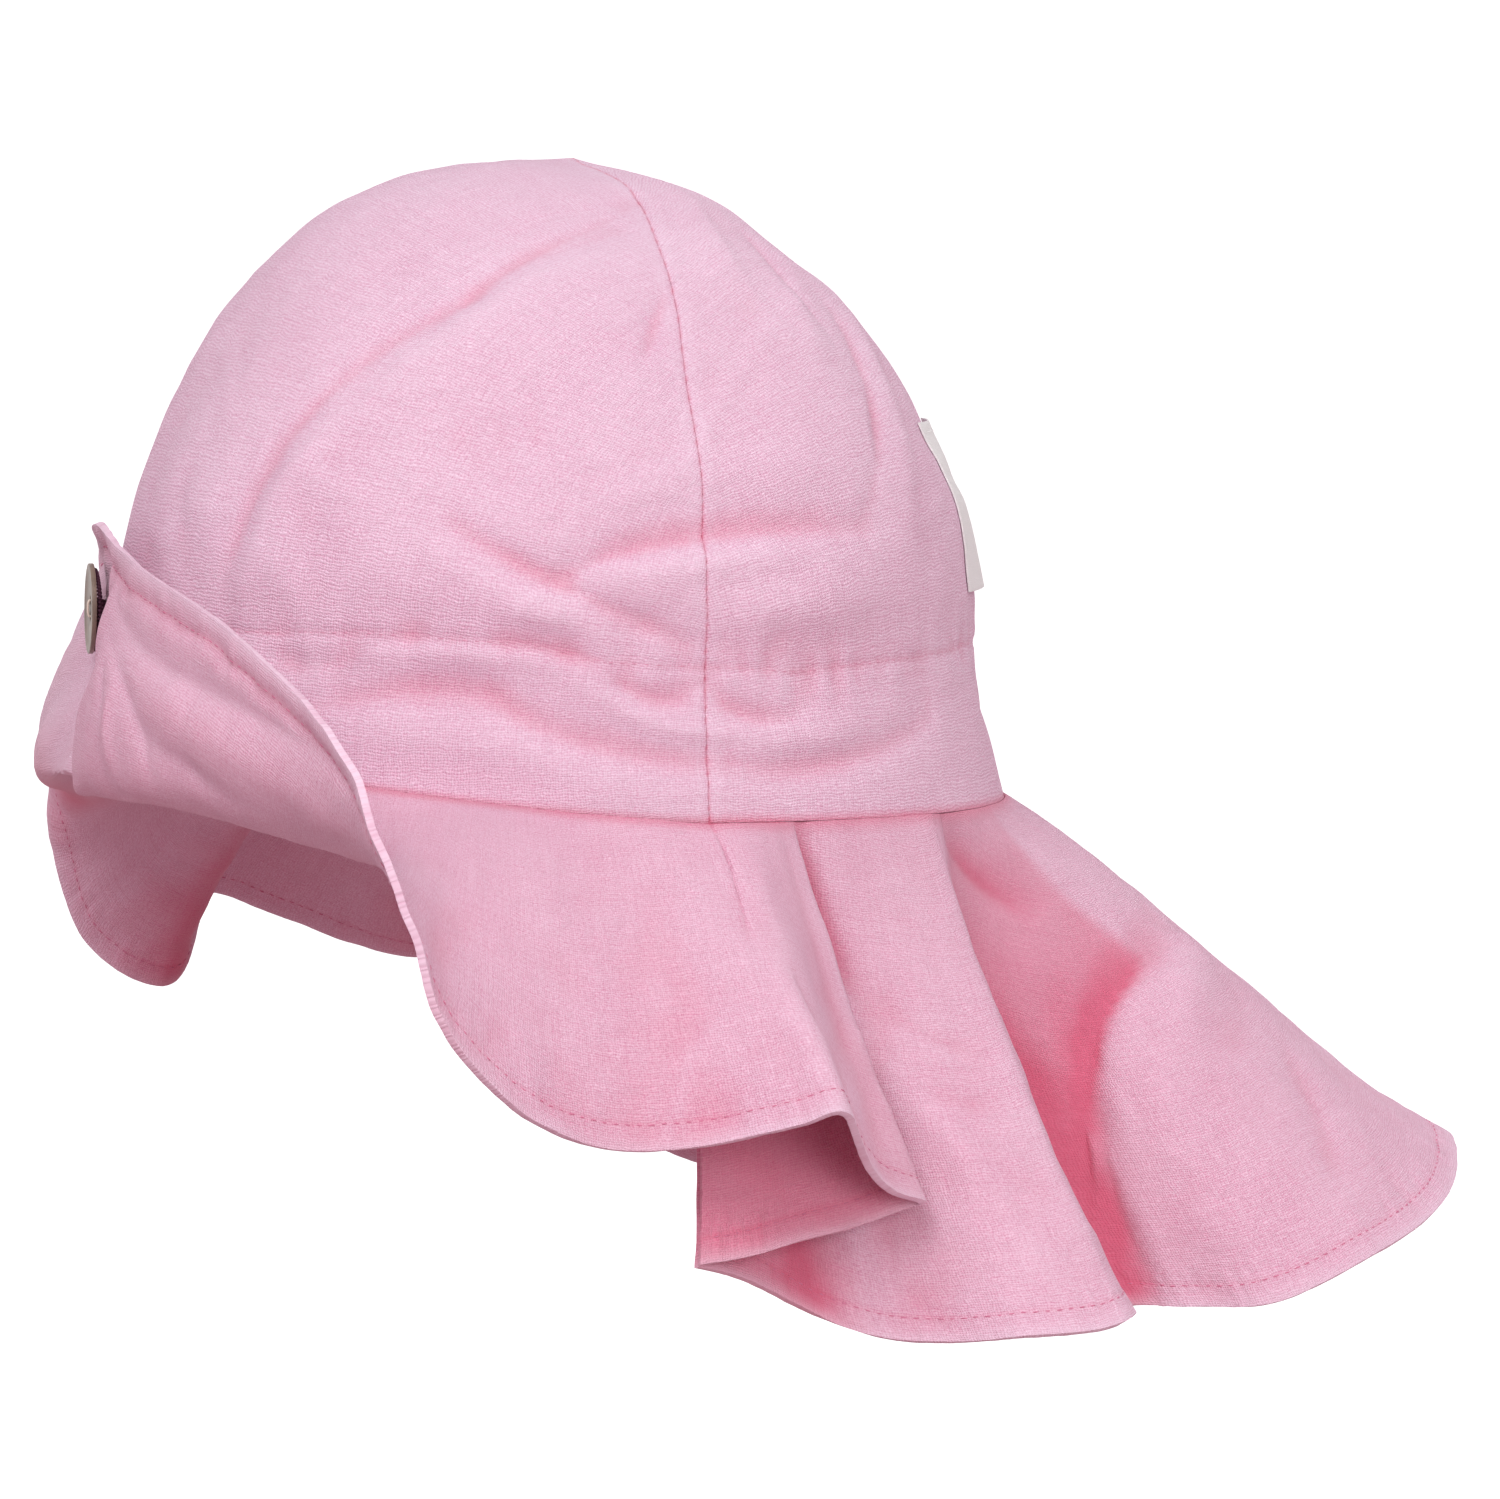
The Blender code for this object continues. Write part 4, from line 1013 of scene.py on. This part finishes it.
# The thread: pale strands through the button's holes, and behind it the dark whipped cord
# that holds the turned-up brim, a ring that lies on the cloth, with the wound shank inside.
CORD_RING = 7.1
CORD_RADIUS = 1.3
WRAPS = 62
WRAP_RADIUS = 0.24
graph = bpy.context.evaluated_depsgraph_get()
brim_surface = BVHTree.FromObject(brim, graph)
button_back = button_middle - button_facing @ Vector((0, 0, BUTTON_THICKNESS / 2 * MM))


def room_behind(across, up):
    """How far the cloth lies behind the button's back at one place, in millimetres."""
    reach = 10.0
    start = button_back + button_facing @ Vector((across, up, reach)) * MM
    hit = brim_surface.ray_cast(start, button_facing @ Vector((0, 0, -1)))[0]
    return (hit - start).length / MM - reach if hit else 3.0


def strand(name, path, radius, ring, closed, finish):
    """A round thread along a path of points in millimetres, in the button's own frame."""
    path = np.array(path)
    count = len(path)
    if closed:
        ahead = np.roll(path, -1, axis=0) - np.roll(path, 1, axis=0)
    else:
        ahead = np.gradient(path, axis=0)
    ahead /= np.linalg.norm(ahead, axis=-1, keepdims=True)
    steady = np.array((0.31, 0.23, 0.92))
    side = np.cross(ahead, steady)
    side /= np.linalg.norm(side, axis=-1, keepdims=True)
    rise = np.cross(side, ahead)
    turn = np.linspace(0, 2 * math.pi, ring, endpoint=False)
    circle = side[:, None] * np.cos(turn)[:, None] + rise[:, None] * np.sin(turn)[:, None]
    points = (path[:, None] + radius * circle).reshape(-1, 3)
    faces = [
        (low * ring + corner, low * ring + (corner + 1) % ring,
         (low + 1) % count * ring + (corner + 1) % ring, (low + 1) % count * ring + corner)
        for low in range(count if closed else count - 1)
        for corner in range(ring)
    ]
    if not closed:
        faces += [tuple(range(ring - 1, -1, -1)), tuple(range((count - 1) * ring, count * ring))]
    mesh = bpy.data.meshes.new(name)
    mesh.from_pydata([button_back + button_facing @ Vector(point) * MM for point in points], [], faces)
    shell = bmesh.new()
    shell.from_mesh(mesh)
    bmesh.ops.recalc_face_normals(shell, faces=shell.faces)
    shell.to_mesh(mesh)
    shell.free()
    mesh.shade_smooth()
    mesh.materials.append(finish)
    item = bpy.data.objects.new(name, mesh)
    bpy.context.scene.collection.objects.link(item)
    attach(item, "root")
    return item


pale_thread = thread_finish("pale_thread", (0.80, 0.68, 0.58))
dark_thread = thread_finish("dark_purple_thread", (0.075, 0.022, 0.045))
face_up = BUTTON_THICKNESS - DISH_DEPTH - 0.15
for number, across in enumerate((-0.36, 0.0, 0.36)):
    over = (
        (across, -HOLE_OUT, -0.2), (across, -HOLE_OUT, face_up * 0.6), (across, -HOLE_OUT * 0.9, face_up + 0.25),
        (across, -HOLE_OUT * 0.4, face_up + 0.42), (across, HOLE_OUT * 0.4, face_up + 0.42),
        (across, HOLE_OUT * 0.9, face_up + 0.25), (across, HOLE_OUT, face_up * 0.6), (across, HOLE_OUT, -0.2),
    )
    even = np.linspace(0, len(over) - 1, 33)
    strand(f"button_strand_{number}", spline(np.array(over), even), 0.2, 8, False, pale_thread)

steps = np.linspace(0, 2 * math.pi, WRAPS * 12, endpoint=False)
ring_path = []
core_path = []
for turn in steps:
    across, up = CORD_RING * math.cos(turn), CORD_RING * math.sin(turn)
    room = max(room_behind(across, up), 0.5)
    radius = min(max(room / 2, 0.3), CORD_RADIUS * (0.55 - 0.25 * math.sin(turn)))
    depth = radius * 0.95
    core_path.append((across, up, -depth))
    wrap = turn * WRAPS
    out = (radius - WRAP_RADIUS) * math.cos(wrap)
    back = (radius - WRAP_RADIUS) * math.sin(wrap)
    ring_path.append((across + out * math.cos(turn), up + out * math.sin(turn), back - depth))
cord_ring = strand("whipped_cord", ring_path, WRAP_RADIUS, 6, True, dark_thread)
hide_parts("button_thread")
strand("cord_core", core_path[::8], 0.3, 8, True, dark_thread)
shank_room = max(room_behind(0, 0), 0.6)
shank_turn = np.linspace(0, 2 * math.pi * 7, 85)
shank_path = np.stack((1.5 * np.cos(shank_turn), 1.5 * np.sin(shank_turn),
                       -shank_room * np.linspace(0.05, 0.98, 85)), axis=-1)
strand("button_shank", shank_path, 0.22, 6, False, dark_thread)


# The label: a bare strip of white woven tape at the back of the crown, sewn down along its
# top edge. It follows the cloth and its far edge curls away from it.
LABEL_WIDTH = 28.0
LABEL_LOW = 37.5
LABEL_HIGH = 69.0
LABEL_AROUND = 165.0
LABEL_WALL = 0.35
LABEL_LIFT = np.array((
    # share of the height, near edge, far edge
    (0.0, 0.3, 1.9), (0.25, 0.3, 1.2), (0.55, 0.3, 0.6), (0.8, 0.3, 0.3), (0.92, 0.3, 0.5), (1.0, 0.3, 0.9),
))
back_surface = BVHTree.FromObject(crown_back, graph)
label_outward = band_outward(np.array(LABEL_AROUND))
label_far_side = np.array((-label_outward[1], label_outward[0], 0.0))
label_steps_across, label_steps_up = 28, 32
label_points = np.zeros((label_steps_across + 1, label_steps_up + 1, 3))
label_ground = np.zeros((label_steps_across + 1, label_steps_up + 1))
label_across = np.linspace(0, 1, label_steps_across + 1)
label_rise = np.linspace(0, 1, label_steps_up + 1)
for column, across in enumerate(label_across):
    for level, rise in enumerate(label_rise):
        place = label_far_side * LABEL_WIDTH * (across - 0.5)
        place[2] = LABEL_LOW + (LABEL_HIGH - LABEL_LOW) * rise
        start = place + label_outward * 110.0
        hit = back_surface.ray_cast(Vector(start) * MM, -Vector(label_outward))[0]
        label_points[column, level] = place
        label_ground[column, level] = np.dot(hit, label_outward) / MM
near_lift = np.interp(label_rise, LABEL_LIFT[:, 0], LABEL_LIFT[:, 1])
far_lift = np.interp(label_rise, LABEL_LIFT[:, 0], LABEL_LIFT[:, 2])
near_out = label_ground[0] + near_lift
far_out = label_ground[label_steps_across // 2] + far_lift
label_out = near_out + (far_out - near_out) * label_across[:, None]
arch = (4 * label_across * (1 - label_across))[:, None]
short = label_ground + LABEL_WALL * 0.5 + 0.1 - label_out
label_out += arch * max(0.0, float((short[3:-3] / arch[3:-3]).max()))
label_points += label_outward * label_out[..., None]
label_flat = np.stack((label_across[:, None] * LABEL_WIDTH + label_rise * 0,
                       label_rise * (LABEL_HIGH - LABEL_LOW) + label_across[:, None] * 0), axis=-1)
label = cloth_mesh("woven_label", label_points, label_flat, {})
give_wall(label, LABEL_WALL, 0.0, 0.1)

label_finish = bpy.data.materials.new("white_woven_tape")
label_finish.use_nodes = True
label_tree = label_finish.node_tree
label_shader = label_tree.nodes["Principled BSDF"]
label_threads = add_node(label_tree, "ShaderNodeGroup", node_tree=weave)
label_threads.inputs["Pitch"].default_value = 0.3
label_threads.inputs["Slub"].default_value = 0.1
label_tree.links.new(add_node(label_tree, "ShaderNodeUVMap", uv_map="cloth").outputs["UV"],
                     label_threads.inputs["Pattern"])
# The gaps between the threads are painted darker, as shade in the weave.
label_tree.links.new(mix_colours(label_tree, label_threads.outputs["Height"], (0.66, 0.66, 0.65), (0.86, 0.86, 0.85)),
                     label_shader.inputs["Base Color"])
label_shader.inputs["Roughness"].default_value = 0.6
label_shader.inputs["Sheen Weight"].default_value = 0.1
label_bump = add_node(label_tree, "ShaderNodeBump", in_Strength=0.5, in_Distance=0.1 * MM,
                      in_Height=label_threads.outputs["Height"])
label_tree.links.new(label_bump.outputs["Normal"], label_shader.inputs["Normal"])
label.data.materials.append(label_finish)
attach(label, "root")
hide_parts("label")

label_normals = surface_normals(label_points)
label_normals *= np.sign(label_normals[0, 0] @ label_outward)
top_line = label_points[:, -3] + label_normals[:, -3] * LABEL_WALL * 0.5
white_finish = thread_finish("white_thread", (0.8, 0.8, 0.79))
label_row = stitch_row("label_stitches", top_line, label_normals[:, -3], 0.02, white_finish)
